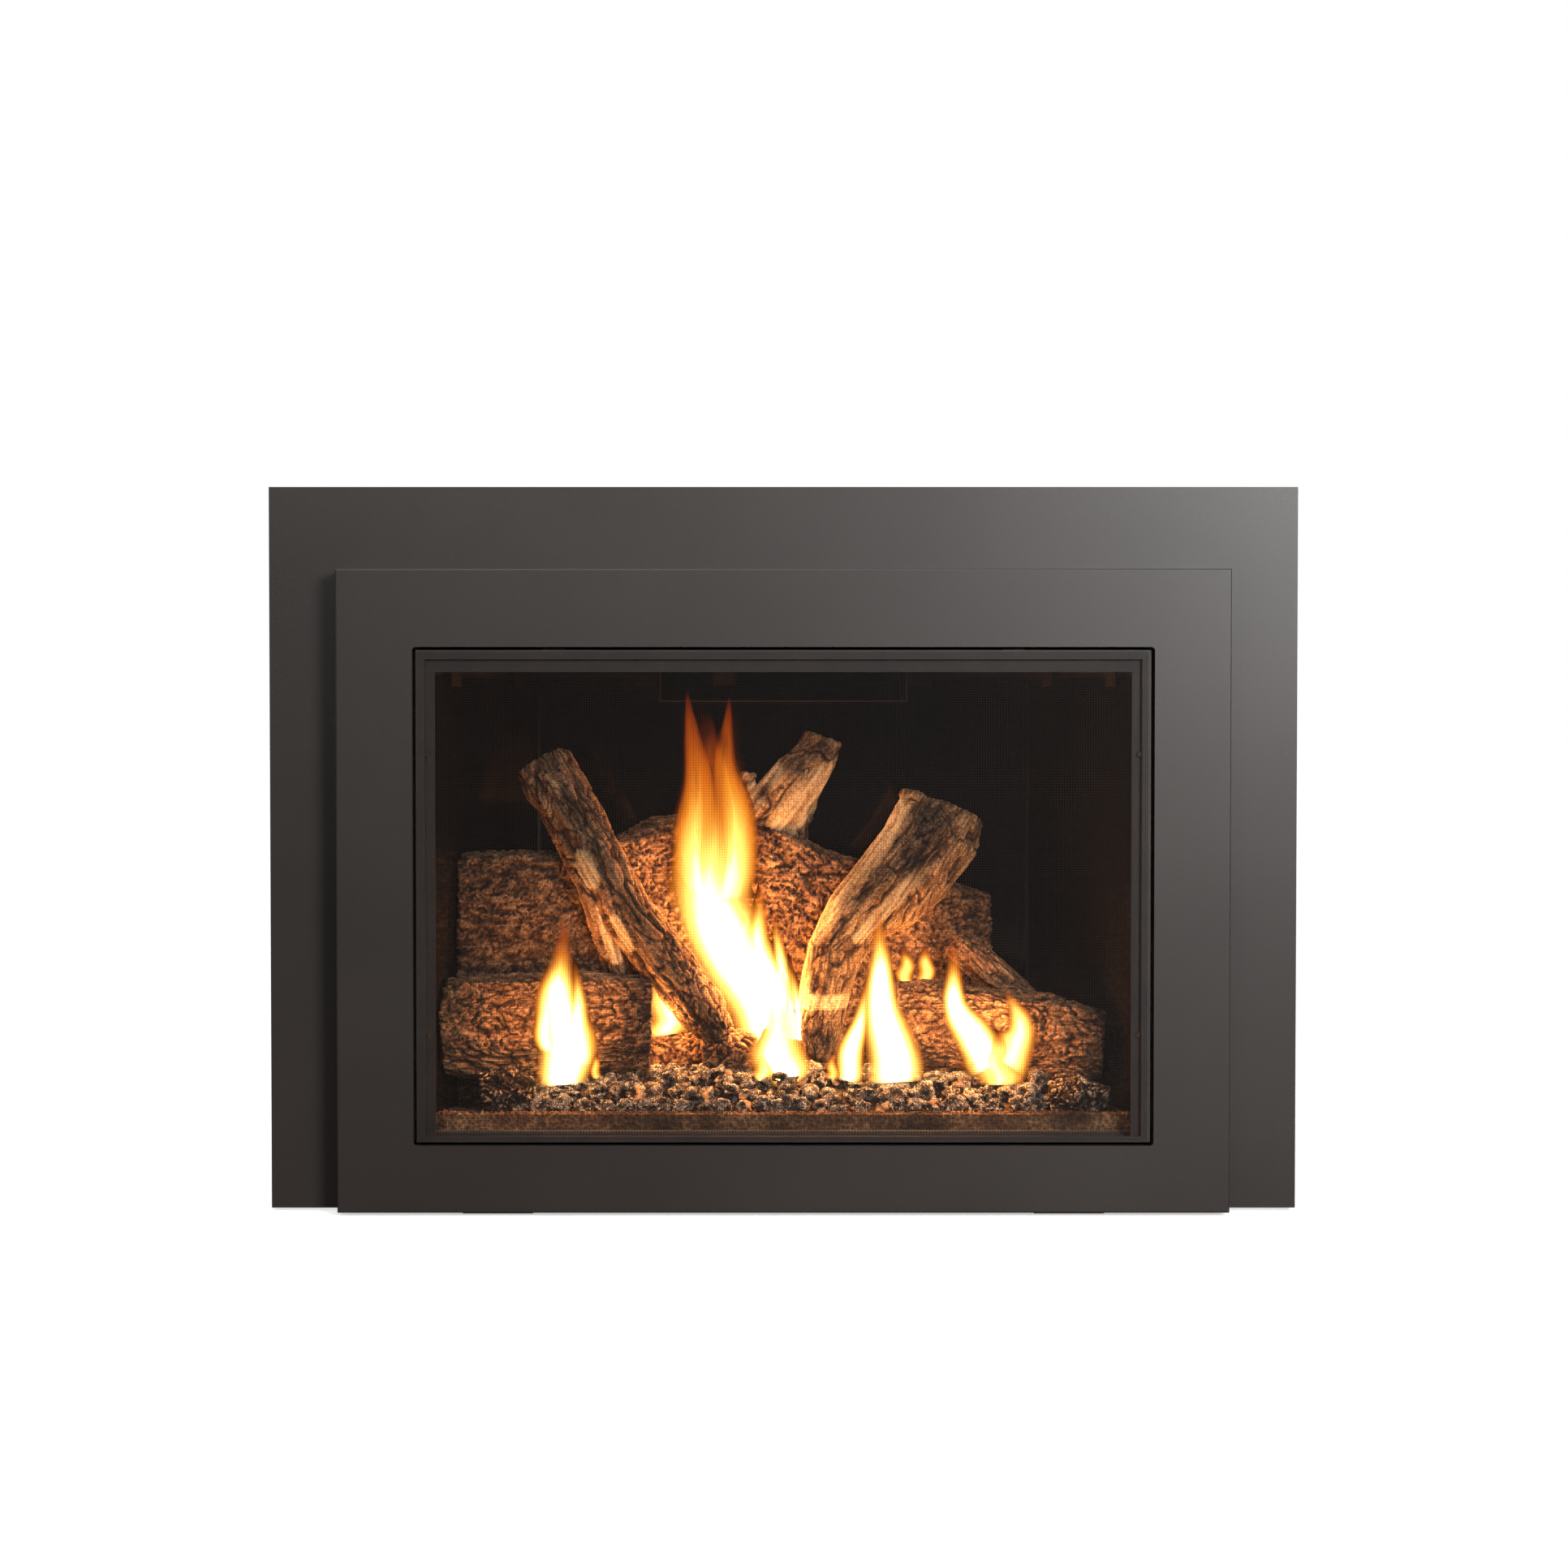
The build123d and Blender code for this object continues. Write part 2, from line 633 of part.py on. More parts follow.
# --- ember bed: moulded bank along the front, covered with rock wool lumps ----------------------
bank_left = -250.0
bank_right = 262.0
bank_top = 126.0
bank_front = 8.0
bank_back = 66.0
bank_section = ((bank_front, board_top), (bank_front + 6, board_top + 5), (40, bank_top - 3),
                (52, bank_top), (bank_back, bank_top), (bank_back, board_top))
bank = side_prism(bank_section, bank_left, bank_right)


def scatter(n, seed):
    """A repeatable number between -1 and 1."""
    return math.sin(12.9898 * n + 78.233 * seed) * math.cos(3.7 * n * seed + 1.3)


lump_size = 24.0
lump_height = lump_size * 0.85
lump_pitch = 27.0
lumps_in_row = 18
crumple = 0.18


def lump(x, y, z, seed):
    """A crumpled lump: three five-sided rings joined by flat facets."""
    rings = []
    for level, share in ((-0.5, 0.75), (0.0, 1.0), (0.5, 0.55)):
        turn = 40 * scatter(seed + level, 1.7)
        ring_points = []
        for i in range(5):
            a = math.radians(72 * i + turn)
            r = lump_size / 2 * share * (1 + crumple * scatter(5 * seed + i, 2.3))
            ring_points.append(Vector(x + r * math.cos(a), y + r * math.sin(a), z + level * lump_height))
        rings.append(ring_points)
    return faceted(rings)


lumps = []
lump_rows = ((15.0, board_top + lump_height / 2), (37.5, bank_top - 3))
for r, (y, z) in enumerate(lump_rows):
    for n in range(lumps_in_row):
        x = bank_left + 15 + lump_pitch * n + (lump_pitch / 2 if r % 2 else 0)
        lumps.append(lump(x, y + 1.5 * scatter(n, r + 1), z, 31 * r + n + 1))

# --- logs: moulded fibre, skinned through uneven rings -----------------------------------------
# The set is moulded for one firebox and follows it when that changes.
set_half = 362.0
set_height = 452.0
set_floor = 96.0
spread = firebox_half_front / set_half
rise = (firebox_ceiling - board_top) / set_height


def log_ring(centre, along, across, upright, seed, sides, squareness, bark):
    """One ring of points round a log, square to its run, with an uneven bark outline."""
    level = Vector(0, 0, 1).cross(along)
    x_dir = level.normalized() if level.length > 0.05 else Vector(1, 0, 0)
    plane = Plane(origin=centre, z_dir=along, x_dir=x_dir)
    points = []
    for i in range(sides):
        a = 2 * math.pi * (i + 0.5) / sides
        c, s = math.cos(a), math.sin(a)
        r = (abs(c) ** squareness + abs(s) ** squareness) ** (-1 / squareness)
        r *= 1 + bark * scatter(i, seed)
        points.append(plane.from_local_coords(Vector(across / 2 * r * c, upright / 2 * r * s, 0)))
    return points


def in_set(x, y, z):
    """A place in the log set, moved with the firebox."""
    return (x * spread, y, board_top + (z - set_floor) * rise)


def log(stations, seed, sides=10, squareness=2.0, bark=0.07, level_run=False):
    """Skin a run of (x, y, z, width across, height) stations."""
    centres = [in_set(x, y, z) for x, y, z, across, upright in stations]
    rings = []
    for k, (x, y, z, across, upright) in enumerate(stations):
        before = centres[max(k - 1, 0)]
        after = centres[min(k + 1, len(centres) - 1)]
        climb = 0 if level_run else after[2] - before[2]
        along = Vector(after[0] - before[0], after[1] - before[1], climb).normalized()
        rings.append(log_ring(centres[k], along, across, upright * rise, seed + 1.37 * k, sides, squareness,
                              bark))
    return faceted(rings)


room_gap = panel_across + 2.5
room_front = -8.0
room_back = 280.0
room_half_front = wall_half(room_front) - room_gap
room_half_back = wall_half(room_back) - room_gap
log_room = plan_prism(((-room_half_front, room_front), (-room_half_back, room_back),
                       (room_half_back, room_back), (room_half_front, room_front)),
                      board_top, firebox_ceiling - 45)

# The rear log stands across the box on a slant and carries the others: x, y, top and depth.
rear_tops = ((-338, 72, 357, 46), (-275, 80, 357, 56), (-224, 88, 356, 62), (-190, 97, 362, 66),
             (-141, 115, 384, 68), (-103, 124, 398, 70), (-51, 133, 394, 72), (-4, 143, 379, 70),
             (44, 153, 356, 68), (84, 163, 342, 66), (116, 171, 331, 64), (169, 183, 321, 62),
             (217, 193, 311, 56))
rear_foot = set_floor - 12
rear_stations = [(x, y, (top + rear_foot) / 2, depth, top - rear_foot) for x, y, top, depth in rear_tops]
rear_log = log(rear_stations, 2.0, squareness=5.0, bark=0.045, level_run=True) & log_room
groove_radius = 4.0
rear_log -= bar(in_set(-345, 47, 299), in_set(-236, 54, 299), groove_radius, 6)

front_left_stations = ((-350, 34, 178, 56, 96), (-325, 36, 180, 62, 106), (-270, 38, 180, 64, 110),
                       (-215, 41, 181, 64, 108), (-165, 44, 181, 62, 106), (-137, 46, 180, 58, 100))
front_left = log(front_left_stations, 4.1, squareness=2.4) & log_room
bank -= rear_log
save("ember_bank", bank)
front_left -= [rear_log, bank]
left_cross_stations = ((-249, 90, 448, 56, 60), (-236, 83, 425, 60, 62), (-220, 74, 398, 58, 60),
                       (-194, 58, 348, 56, 58), (-160, 50, 294, 54, 56), (-118, 47, 240, 52, 54),
                       (-84, 49, 196, 46, 48), (-66, 51, 170, 32, 34))
left_cross = log(left_cross_stations, 6.3)
rear_log -= left_cross
front_left -= left_cross
left_branch_stations = ((-200, 50, 342, 34, 36), (-188, 50, 305, 34, 34), (-180, 55, 270, 30, 30),
                        (-173, 60, 240, 26, 26), (-165, 62, 214, 20, 20))
left_branch = log(left_branch_stations, 7.7, sides=8)
left_branch -= [left_cross, rear_log, front_left]

right_cross_stations = ((169, 152, 402, 52, 110), (160, 146, 374, 56, 112), (139, 132, 342, 54, 108),
                        (106, 114, 314, 54, 92), (73, 98, 286, 52, 68), (52, 86, 250, 50, 60),
                        (42, 74, 205, 46, 58), (37, 66, 162, 38, 46), (36, 62, 142, 26, 30))
right_cross = log(right_cross_stations, 9.2)
# Its upper end is rotted out to a trough that opens to the front.
trough_top = Vector(*in_set(160, 112, 418))
trough_foot = Vector(*in_set(122, 86, 336))
trough_run = trough_top - trough_foot
trough_plane = Plane(origin=trough_foot, z_dir=trough_run.normalized())
right_cross -= extrude(trough_plane * Circle(5), trough_run.length, taper=-8)
spur = log(((84, 96, 300, 26, 26), (92, 88, 284, 20, 20), (94, 84, 272, 13, 13)), 3.3, sides=8)
right_cross = right_cross + spur - rear_log
front_right_stations = ((120, 60, 174, 60, 100), (160, 58, 175, 64, 102), (215, 56, 171, 64, 96),
                        (270, 52, 166, 62, 88), (310, 48, 162, 58, 78), (328, 46, 161, 50, 68))
front_right = log(front_right_stations, 5.5, squareness=2.4) & log_room
front_right -= [bank, right_cross]
right_twig_stations = ((178, 98, 262, 30, 32), (205, 96, 240, 36, 38), (232, 94, 218, 34, 36),
                       (258, 92, 196, 28, 30))
right_twig = log(right_twig_stations, 8.8, sides=8) & log_room
right_twig -= [front_right, rear_log]

top_chunk_stations = ((-14, 140, 376, 40, 84), (-4, 143, 402, 44, 78), (16, 150, 430, 42, 62),
                      (36, 156, 456, 36, 50), (42, 158, 474, 26, 44))
top_chunk = log(top_chunk_stations, 1.9, sides=9, bark=0.12)
top_chunk += log(((-42, 140, 384, 30, 34), (-43, 140, 412, 24, 30), (-37, 140, 437, 13, 15)), 2.4, sides=7)
top_chunk -= [rear_log, bar(in_set(-2, 110, 462), in_set(-2, 190, 470), 10, 4)]


def chunk(stations, seed):
    """A short block of wood, squarer than a log."""
    return log(stations, seed, sides=8, squareness=3.0) & log_room


chunk_left = chunk(((-158, 92, 138, 44, 80), (-125, 93, 140, 48, 90), (-92, 94, 139, 48, 86),
                    (-66, 95, 134, 40, 74)), 2.9)
chunk_left -= [rear_log, left_cross, front_left]
chunk_middle = chunk(((-82, 58, 146, 34, 46), (-56, 58, 150, 40, 52), (-32, 58, 146, 34, 44)), 3.7)
chunk_middle -= [bank, left_cross, front_left, chunk_left]
chunk_right = chunk(((-28, 56, 142, 30, 40), (0, 57, 145, 34, 44), (20, 58, 142, 28, 38)), 4.6)
chunk_right -= [bank, right_cross, chunk_middle]


def coal(stations, seed):
    """A charred piece with a deeply uneven outline."""
    return log(stations, seed, sides=7, bark=0.16) & log_room


charcoal_left = coal(((-306, 10, 112, 30, 44), (-282, 12, 118, 36, 50), (-256, 14, 110, 26, 38)), 5.9)
charcoal_left -= [bank, front_left]
charcoal_base = coal(((-240, 44, 142, 30, 40), (-212, 45, 143, 30, 38), (-190, 46, 139, 26, 30)), 7.1)
charcoal_base -= [bank, front_left, rear_log]
charcoal_right = coal(((272, 18, 108, 34, 34), (300, 16, 112, 40, 42), (328, 12, 106, 30, 30)), 6.7)
charcoal_right -= [bank, front_right]

save("log_rear", largest(rear_log))
save("log_front_left", largest(front_left))
save("log_cross_left", largest(left_cross))
save("log_branch_left", largest(left_branch))
save("log_cross_right", largest(right_cross))
save("log_front_right", largest(front_right))
save("log_twig_right", largest(right_twig))
save("log_top_chunk", largest(top_chunk))
save("wood_chunks", largest(chunk_left), largest(chunk_middle), largest(chunk_right))
save("charcoal_pieces", largest(charcoal_left), largest(charcoal_base), largest(charcoal_right))

laid_over_lumps = [front_left, front_right, left_cross, right_cross, chunk_middle, chunk_right,
                   charcoal_left, charcoal_base, charcoal_right, bank]


def near(a, b):
    """True if two shapes' boxes meet."""
    box_a, box_b = a.bounding_box(), b.bounding_box()
    return all(low <= high for low, high in zip(box_a.min, box_b.max)) and all(
        low <= high for low, high in zip(box_b.min, box_a.max))


smallest_lump = 2200.0
embers = []
for piece in lumps:
    rest = piece - [shape for shape in laid_over_lumps if near(piece, shape)]
    if rest and rest.volume > smallest_lump:
        embers.append(largest(rest))
save("ember_lumps", *embers)

# --- pilot: bracket, hood, spark rod and flame rod on the burner -------------------------------
pilot_x = 128.0
pilot_y = 112.0
bracket_half = 22.0
bracket_front = pilot_y - 6
bracket_back = pilot_y + 12
bracket_top = board_top + 18.0
bracket_left = pilot_x - bracket_half
bracket_right = pilot_x + bracket_half
pilot_bracket = block(bracket_left, bracket_right, bracket_front, bracket_back, board_top, board_top + sheet)
pilot_bracket += block(bracket_left, bracket_right, bracket_back - sheet, bracket_back,
                       board_top, bracket_top)
pilot_bracket += block(bracket_left, bracket_right, bracket_front, bracket_back,
                       bracket_top - sheet, bracket_top)
hood = rod((pilot_x, pilot_y, bracket_top), (pilot_x, pilot_y, bracket_top + 16), 5)
hood -= block(pilot_x - 6, pilot_x + 6, bracket_front, pilot_y, bracket_top + 7, bracket_top + 13)
save("pilot_hood", pilot_bracket + hood)
insulator_length = 12.0
electrode_offset = 15.0


def electrode(x, tip):
    """A rod in its insulator, beside the hood."""
    shoulder = bracket_top + insulator_length
    return bar((x, pilot_y, bracket_top), (x, pilot_y, shoulder), 3) + bar(
        (x, pilot_y, shoulder), (x, pilot_y, shoulder + tip), 1)


save("pilot_electrodes", electrode(pilot_x - electrode_offset, 7), electrode(pilot_x + electrode_offset, 12))

# --- gas train in the lower compartment --------------------------------------------------------
valve_x0, valve_x1 = -60.0, 50.0
valve_y0, valve_y1 = 40.0, 92.0
valve_y = (valve_y0 + valve_y1) / 2
valve_low = sheet + 9.0
valve_high = 54.0
valve_step = valve_high - 14
boss_reach = 8.0
valve_stand = block(valve_x0 - 8, valve_x1 + 8, valve_y0 - 4, valve_y1 + 4, sheet, sheet + sheet)
for x in (valve_x0, valve_x1 - 10):
    valve_stand += block(x, x + 10, valve_y0, valve_y1, sheet + sheet, valve_low)
valve = valve_stand + block(valve_x0, valve_x1, valve_y0, valve_y1, valve_low, valve_step)
valve += block(valve_x0 + 12, valve_x1 - 30, valve_y0 + 6, valve_y1 - 6, valve_step, valve_high)
knob_x = 24.0
knob_z = 27.0
valve_face = valve_y0 - 6.0
valve += bar((knob_x, valve_face, knob_z), (knob_x, valve_y0, knob_z), 12, 16)
valve += bar((-30, valve_face - 10, knob_z), (-30, valve_y0, knob_z), 13, 16)
valve += bar((valve_x1, valve_y, knob_z), (valve_x1 + boss_reach, valve_y, knob_z), 11, 6)
valve += bar((valve_x0 - boss_reach, valve_y, knob_z), (valve_x0, valve_y, knob_z), 9, 6)
stem_radius = 3.0
stem_end = valve_face - 12.0
valve += rod((knob_x, stem_end, knob_z), (knob_x, valve_face, knob_z), stem_radius)
save("gas_valve", valve)

knob_radius = 10.0
knob_flange = valve_face - 4
knob_grip = 12.0
pointer_half = 1.2
pointer_back = knob_flange - knob_grip
flame_knob = rod((knob_x, knob_flange, knob_z), (knob_x, valve_face - 1, knob_z), knob_radius)
grip = Plane(origin=(knob_x, knob_flange, knob_z), z_dir=(0, -1, 0)) * RegularPolygon(knob_radius - 0.5, 12)
flame_knob += extrude(grip, knob_grip)
flame_knob -= rod((knob_x, stem_end - 0.5, knob_z), (knob_x, valve_face, knob_z), stem_radius + running_fit)
flame_knob += block(knob_x - pointer_half, knob_x + pointer_half, pointer_back - 1, pointer_back,
                    knob_z, knob_z + knob_radius - 1)
save("flame_height_knob", flame_knob)

cock_x = casing_half - 68
cock_y, cock_z = gas_entry
cock_half = 24.0
nut_length = 12.0
cock_stem = 3.5
bonnet = cock_y - 18
inlet_radius = 10.65
inlet_length = 16.0
cock = bar((cock_x - cock_half, cock_y, cock_z), (cock_x + cock_half, cock_y, cock_z), 9, 12)
cock += bar((cock_x, cock_y, cock_z), (cock_x, bonnet, cock_z), 8, 12)
for x in (cock_x - cock_half, cock_x + cock_half - nut_length):
    nut = Plane(origin=(x, cock_y, cock_z), z_dir=(1, 0, 0)) * RegularPolygon(11, 6, major_radius=False)
    cock += extrude(nut, nut_length)
cock += rod((cock_x, bonnet, cock_z), (cock_x, bonnet - 7, cock_z), cock_stem)
cock += bar((cock_x + cock_half, cock_y, cock_z), (casing_half, cock_y, cock_z), 8, 12)
cock += rod((casing_half, cock_y, cock_z), (casing_half + inlet_length, cock_y, cock_z), inlet_radius)
save("shutoff_cock", cock)
lever_reach = 25.0
lever = rod((cock_x, bonnet - 6, cock_z), (cock_x, bonnet - loose_fit, cock_z), 8)
lever += block(cock_x - lever_reach, cock_x, bonnet - 5.4, bonnet - 2.4, cock_z - 5, cock_z + 5)
lever -= rod((cock_x, bonnet - 12, cock_z), (cock_x, bonnet + 8, cock_z), cock_stem + running_fit)
save("shutoff_lever", lever)

supply_path = ((cock_x - cock_half, cock_y, cock_z), (cock_x - 70, cock_y, cock_z),
               (valve_x1 + 60, valve_y, knob_z), (valve_x1 + boss_reach, valve_y, knob_z))
save("gas_supply_tube", bent_tube(supply_path, 14, 6.5))
feed_turn = 150.0
feed_side = valve_x0 - 36
feed_path = ((valve_x0 - boss_reach, valve_y, knob_z), (feed_side, valve_y, knob_z),
             (feed_side, feed_turn, knob_z), (venturi_x, feed_turn, knob_z),
             (venturi_x, supply_y, knob_z), (venturi_x, supply_y, firebox_floor - 8))
save("burner_feed_tube", bent_tube(feed_path, 12, 4.0))

# --- control box, receiver and the switch panel ------------------------------------------------
control_left = 38 - casing_half
control_right = control_left + 130
control_front = 46.0
control_depth = 90.0
control_height = 34.0
socket_depth = 8.0
control = block(control_left, control_right, control_front, control_front + control_depth,
                sheet, sheet + control_height)
control = fillet(control.edges().filter_by(Axis.Z), 5)
control += block(control_left + 12, control_right - 12, control_front - socket_depth, control_front,
                 sheet + 8, sheet + control_height - 8)
save("control_module", control)

panel_left = 110.0
panel_right = 236.0
switch_front = 2.0
switch_back = 44.0
switch_top = 56.0
switch_box = block(panel_left, panel_right, switch_front, switch_back, sheet, switch_top)
switch_box -= block(panel_left + sheet, panel_right - sheet, switch_front + sheet, switch_back - sheet,
                    sheet + sheet, switch_top - sheet)
fan_x = 140.0
fan_z = 30.0
switch_x = 182.0
inlet_x = 215.0


def panel_block(x, half_width, half_height, y0, y1):
    """A box centred on the switch panel's line."""
    return block(x - half_width, x + half_width, y0, y1, fan_z - half_height, fan_z + half_height)


switch_box -= panel_block(switch_x, 7.6, 10.6, switch_front - 1, switch_front + 3)
bezel = panel_block(switch_x, 9.5, 13, switch_front - 1.5, switch_front)
bezel += panel_block(switch_x, 7.4, 10.4, switch_front, switch_front + 12)
bezel -= panel_block(switch_x, 6.2, 9.2, switch_front - 2, switch_front + 10)
rocker_pivot = switch_front + 3.0
rocker_pin = 1.5
pin_half = 6.9
rocker_half = 5.8


def rocker_axle(half_length, radius):
    """A bar on the rocker's axis."""
    start = (switch_x - half_length, rocker_pivot, fan_z)
    return rod(start, (switch_x + half_length, rocker_pivot, fan_z), radius)


bezel -= rocker_axle(pin_half, rocker_pin + running_fit)
save("rocker_bezel", bezel)
rocker_tilt = 8.0
rocker_section = ((-8, -4.7), (-8, -6.4), (0, -4.4), (8, -6.4), (8, -4.7), (0, 2.3))
rocker_profile = Rot(0, 0, rocker_tilt) * make_face(Polyline(*rocker_section, close=True))
rocker_side = Plane(origin=(switch_x - rocker_half, rocker_pivot, fan_z), z_dir=(1, 0, 0), x_dir=(0, 0, -1))
rocker = extrude(rocker_side * rocker_profile, 2 * rocker_half)
save("rocker_switch", rocker + rocker_axle(pin_half - 0.1, rocker_pin))
inlet = panel_block(inlet_x, 14, 11, switch_front - 2, switch_front)
inlet -= panel_block(inlet_x, 11, 8, switch_front - 3, switch_front - 0.6)
for x, z in ((-6, 3), (6, 3), (0, -3)):
    blade_low = fan_z + z - 2
    inlet += block(inlet_x + x - 0.9, inlet_x + x + 0.9, switch_front - 1.9, switch_front - 0.6,
                   blade_low, blade_low + 4)
save("power_inlet", inlet)

fan_stem = 3.0
fan_knob_front = switch_front - 15
fan_shaft = rod((fan_x, switch_front - 9, fan_z), (fan_x, switch_front, fan_z), fan_stem)
fan_shaft += rod((fan_x, switch_front - 1.5, fan_z), (fan_x, switch_front, fan_z), 7)
save("switch_box", switch_box + fan_shaft)
fan_knob = rod((fan_x, fan_knob_front, fan_z), (fan_x, switch_front - 2.2, fan_z), 11)
fan_knob -= rod((fan_x, switch_front - 9.6, fan_z), (fan_x, switch_front, fan_z), fan_stem + running_fit)
fan_knob += block(fan_x - pointer_half, fan_x + pointer_half, fan_knob_front - 1, fan_knob_front,
                  fan_z, fan_z + knob_radius)
save("fan_speed_knob", fan_knob)

# --- convection blower at the back -------------------------------------------------------------
rotor_y = 348.0
rotor_z = 46.0
rotor_radius = 27.0
rotor_half = 140.0
blade_count = 12
shaft_radius = 4.0
disc = 3.0
blade_root = rotor_radius - 9
blade_tip = rotor_radius - 0.5
blade_centre = rotor_radius - 4
blade_pitch = 28.0
cheek_x = rotor_half + 8.0
scroll_sheet = 1.2
cheek_outer = cheek_x + scroll_sheet
shaft_left = -cheek_outer - 14.8
shaft_right = cheek_outer + 20.8


def on_shaft(x0, x1, radius):
    """A bar on the rotor's axis."""
    return rod((x0, rotor_y, rotor_z), (x1, rotor_y, rotor_z), radius)


rotor = on_shaft(shaft_left, shaft_right, shaft_radius)
for x in (-rotor_half, rotor_half - disc):
    rotor += on_shaft(x, x + disc, rotor_radius)
blade = block(-rotor_half + disc, rotor_half - disc, -1, 1, blade_root, blade_tip)
blade = Rot(blade_pitch, 0, 0) * (Pos(0, 0, -blade_centre) * blade)
for n in range(blade_count):
    turn = Rot(360 / blade_count * n, 0, 0)
    rotor += Pos(0, rotor_y, rotor_z) * turn * Pos(0, 0, blade_centre) * blade
save("blower_rotor", rotor)

housing_front = rotor_y - 40.0
housing_rear = rotor_y + 42.0
housing_top = 92.0
cheeks = []
for side in (-1, 1):
    cheek = block(side * cheek_x, side * cheek_outer, housing_front, housing_rear, sheet, housing_top)
    cheeks.append(cheek - on_shaft(side * (cheek_x - 3), side * (cheek_x + 5), shaft_radius + loose_fit))
scroll_low = 12.0
scroll_bend = 22.0
scroll_outline = ((housing_rear, housing_top), (housing_rear, scroll_bend), (rotor_y + 20, scroll_low),
                  (rotor_y - 12, scroll_low), (rotor_y - 12, scroll_low + scroll_sheet),
                  (rotor_y + 19.4, scroll_low + scroll_sheet),
                  (housing_rear - scroll_sheet, scroll_bend + scroll_sheet),
                  (housing_rear - scroll_sheet, housing_top))
scroll = side_prism(scroll_outline, -cheek_x, cheek_x)
tongue_front = rotor_y - 34
tongue = block(-cheek_x, cheek_x, tongue_front, tongue_front + scroll_sheet, rotor_z + 14, housing_top)
bearing = on_shaft(-cheek_outer - 12, -cheek_outer, 12)
bearing -= on_shaft(-cheek_outer - 13, -cheek_x, shaft_radius + running_fit)
save("blower_housing", cheeks[0] + cheeks[1] + scroll + tongue + bearing)
motor_radius = 30.0
motor_neck = cheek_outer + 12
motor_end = cheek_outer + 58
motor = on_shaft(cheek_outer, motor_neck, 14) + on_shaft(motor_neck, motor_end, motor_radius)
motor -= on_shaft(cheek_outer - 1, shaft_right + 1, shaft_radius + running_fit)
stand_left = motor_neck + 4
stand_right = motor_end - 4
stand = block(stand_left, stand_right, tongue_front, rotor_y + 34, sheet, sheet + sheet)
stand += block(stand_left, stand_right, rotor_y - 16, rotor_y + 16, sheet + sheet, rotor_z)
stand -= on_shaft(motor_neck, motor_end, motor_radius)
save("blower_motor", motor + stand)
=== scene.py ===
import math

import bmesh
import bpy
import numpy as np
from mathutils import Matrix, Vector, noise


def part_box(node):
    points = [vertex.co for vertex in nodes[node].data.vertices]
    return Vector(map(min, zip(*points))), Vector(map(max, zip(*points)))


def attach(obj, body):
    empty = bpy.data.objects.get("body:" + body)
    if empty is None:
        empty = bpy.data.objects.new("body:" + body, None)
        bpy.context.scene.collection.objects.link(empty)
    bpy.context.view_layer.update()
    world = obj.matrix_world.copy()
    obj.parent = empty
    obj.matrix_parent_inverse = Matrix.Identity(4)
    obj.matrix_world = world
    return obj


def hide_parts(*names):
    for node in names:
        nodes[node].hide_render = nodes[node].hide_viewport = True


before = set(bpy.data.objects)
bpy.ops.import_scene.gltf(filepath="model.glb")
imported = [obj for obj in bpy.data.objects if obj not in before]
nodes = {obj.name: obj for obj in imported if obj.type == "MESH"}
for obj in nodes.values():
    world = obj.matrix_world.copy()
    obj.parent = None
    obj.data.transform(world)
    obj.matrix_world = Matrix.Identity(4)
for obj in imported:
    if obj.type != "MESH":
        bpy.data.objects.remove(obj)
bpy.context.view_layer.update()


# --- Overlay and backer ------------------------------------------------------------------------
# Folded sheet steel: one face with returned edges and a rectangular opening, hung on magnets over
# a flat backer frame. Both are degreased, sprayed with a fine-textured matt black and baked.


def linear(hex_colour):
    """An sRGB hex colour as the linear colour that a shader takes."""
    parts = [int(hex_colour[i:i + 2], 16) / 255 for i in (1, 3, 5)]
    return [c / 12.92 if c <= 0.04045 else ((c + 0.055) / 1.055) ** 2.4 for c in parts] + [1.0]


def grain(millimetres):
    """A pattern's scale for a feature of that many millimetres."""
    return 1000 / millimetres


def add(tree, kind, settings=None, links=None):
    """Add a node, give its sockets, properties or colour stops their values, and link its inputs."""
    item = tree.nodes.new(kind)
    for key, value in (settings or {}).items():
        if key == "stops":
            while len(item.color_ramp.elements) < len(value):
                item.color_ramp.elements.new(0.5)
            for element, (position, colour) in zip(item.color_ramp.elements, value):
                element.position = position
                element.color = linear(colour)
        elif isinstance(key, int) or key in item.inputs:
            item.inputs[key].default_value = value
        else:
            setattr(item, key, value)
    for key, source in (links or {}).items():
        tree.links.new(source, item.inputs[key])
    return item


def start(name, roughness, metallic=0.0):
    """A new material, its tree, its main shader and the object's own coordinates."""
    made = bpy.data.materials.new(name)
    made.use_nodes = True
    tree = made.node_tree
    shader = tree.nodes["Principled BSDF"]
    shader.inputs["Roughness"].default_value = roughness
    shader.inputs["Metallic"].default_value = metallic
    place = add(tree, "ShaderNodeTexCoord").outputs["Object"]
    return made, tree, shader, place


def surface(tree, shader, colour, relief=None, strength=0.0, height=0.0):
    """Give a finish its colour, and raise it by a relief of so many metres."""
    tree.links.new(colour, shader.inputs["Base Color"])
    if relief is not None:
        raised = add(tree, "ShaderNodeBump", {"Strength": strength, "Distance": height}, {"Height": relief})
        tree.links.new(raised.outputs["Normal"], shader.inputs["Normal"])


def mottle(tree, place, millimetres, detail, stops):
    """Colours that change in soft patches about so many millimetres across."""
    patches = add(tree, "ShaderNodeTexNoise", {"Scale": grain(millimetres), "Detail": detail}, {
        "Vector": place})
    return add(tree, "ShaderNodeValToRGB", {"stops": stops}, {"Fac": patches.outputs["Fac"]}).outputs["Color"]


def dress(material, *names):
    """Give CAD nodes a finish."""
    for name in names:
        nodes[name].data.materials.clear()
        nodes[name].data.materials.append(material)


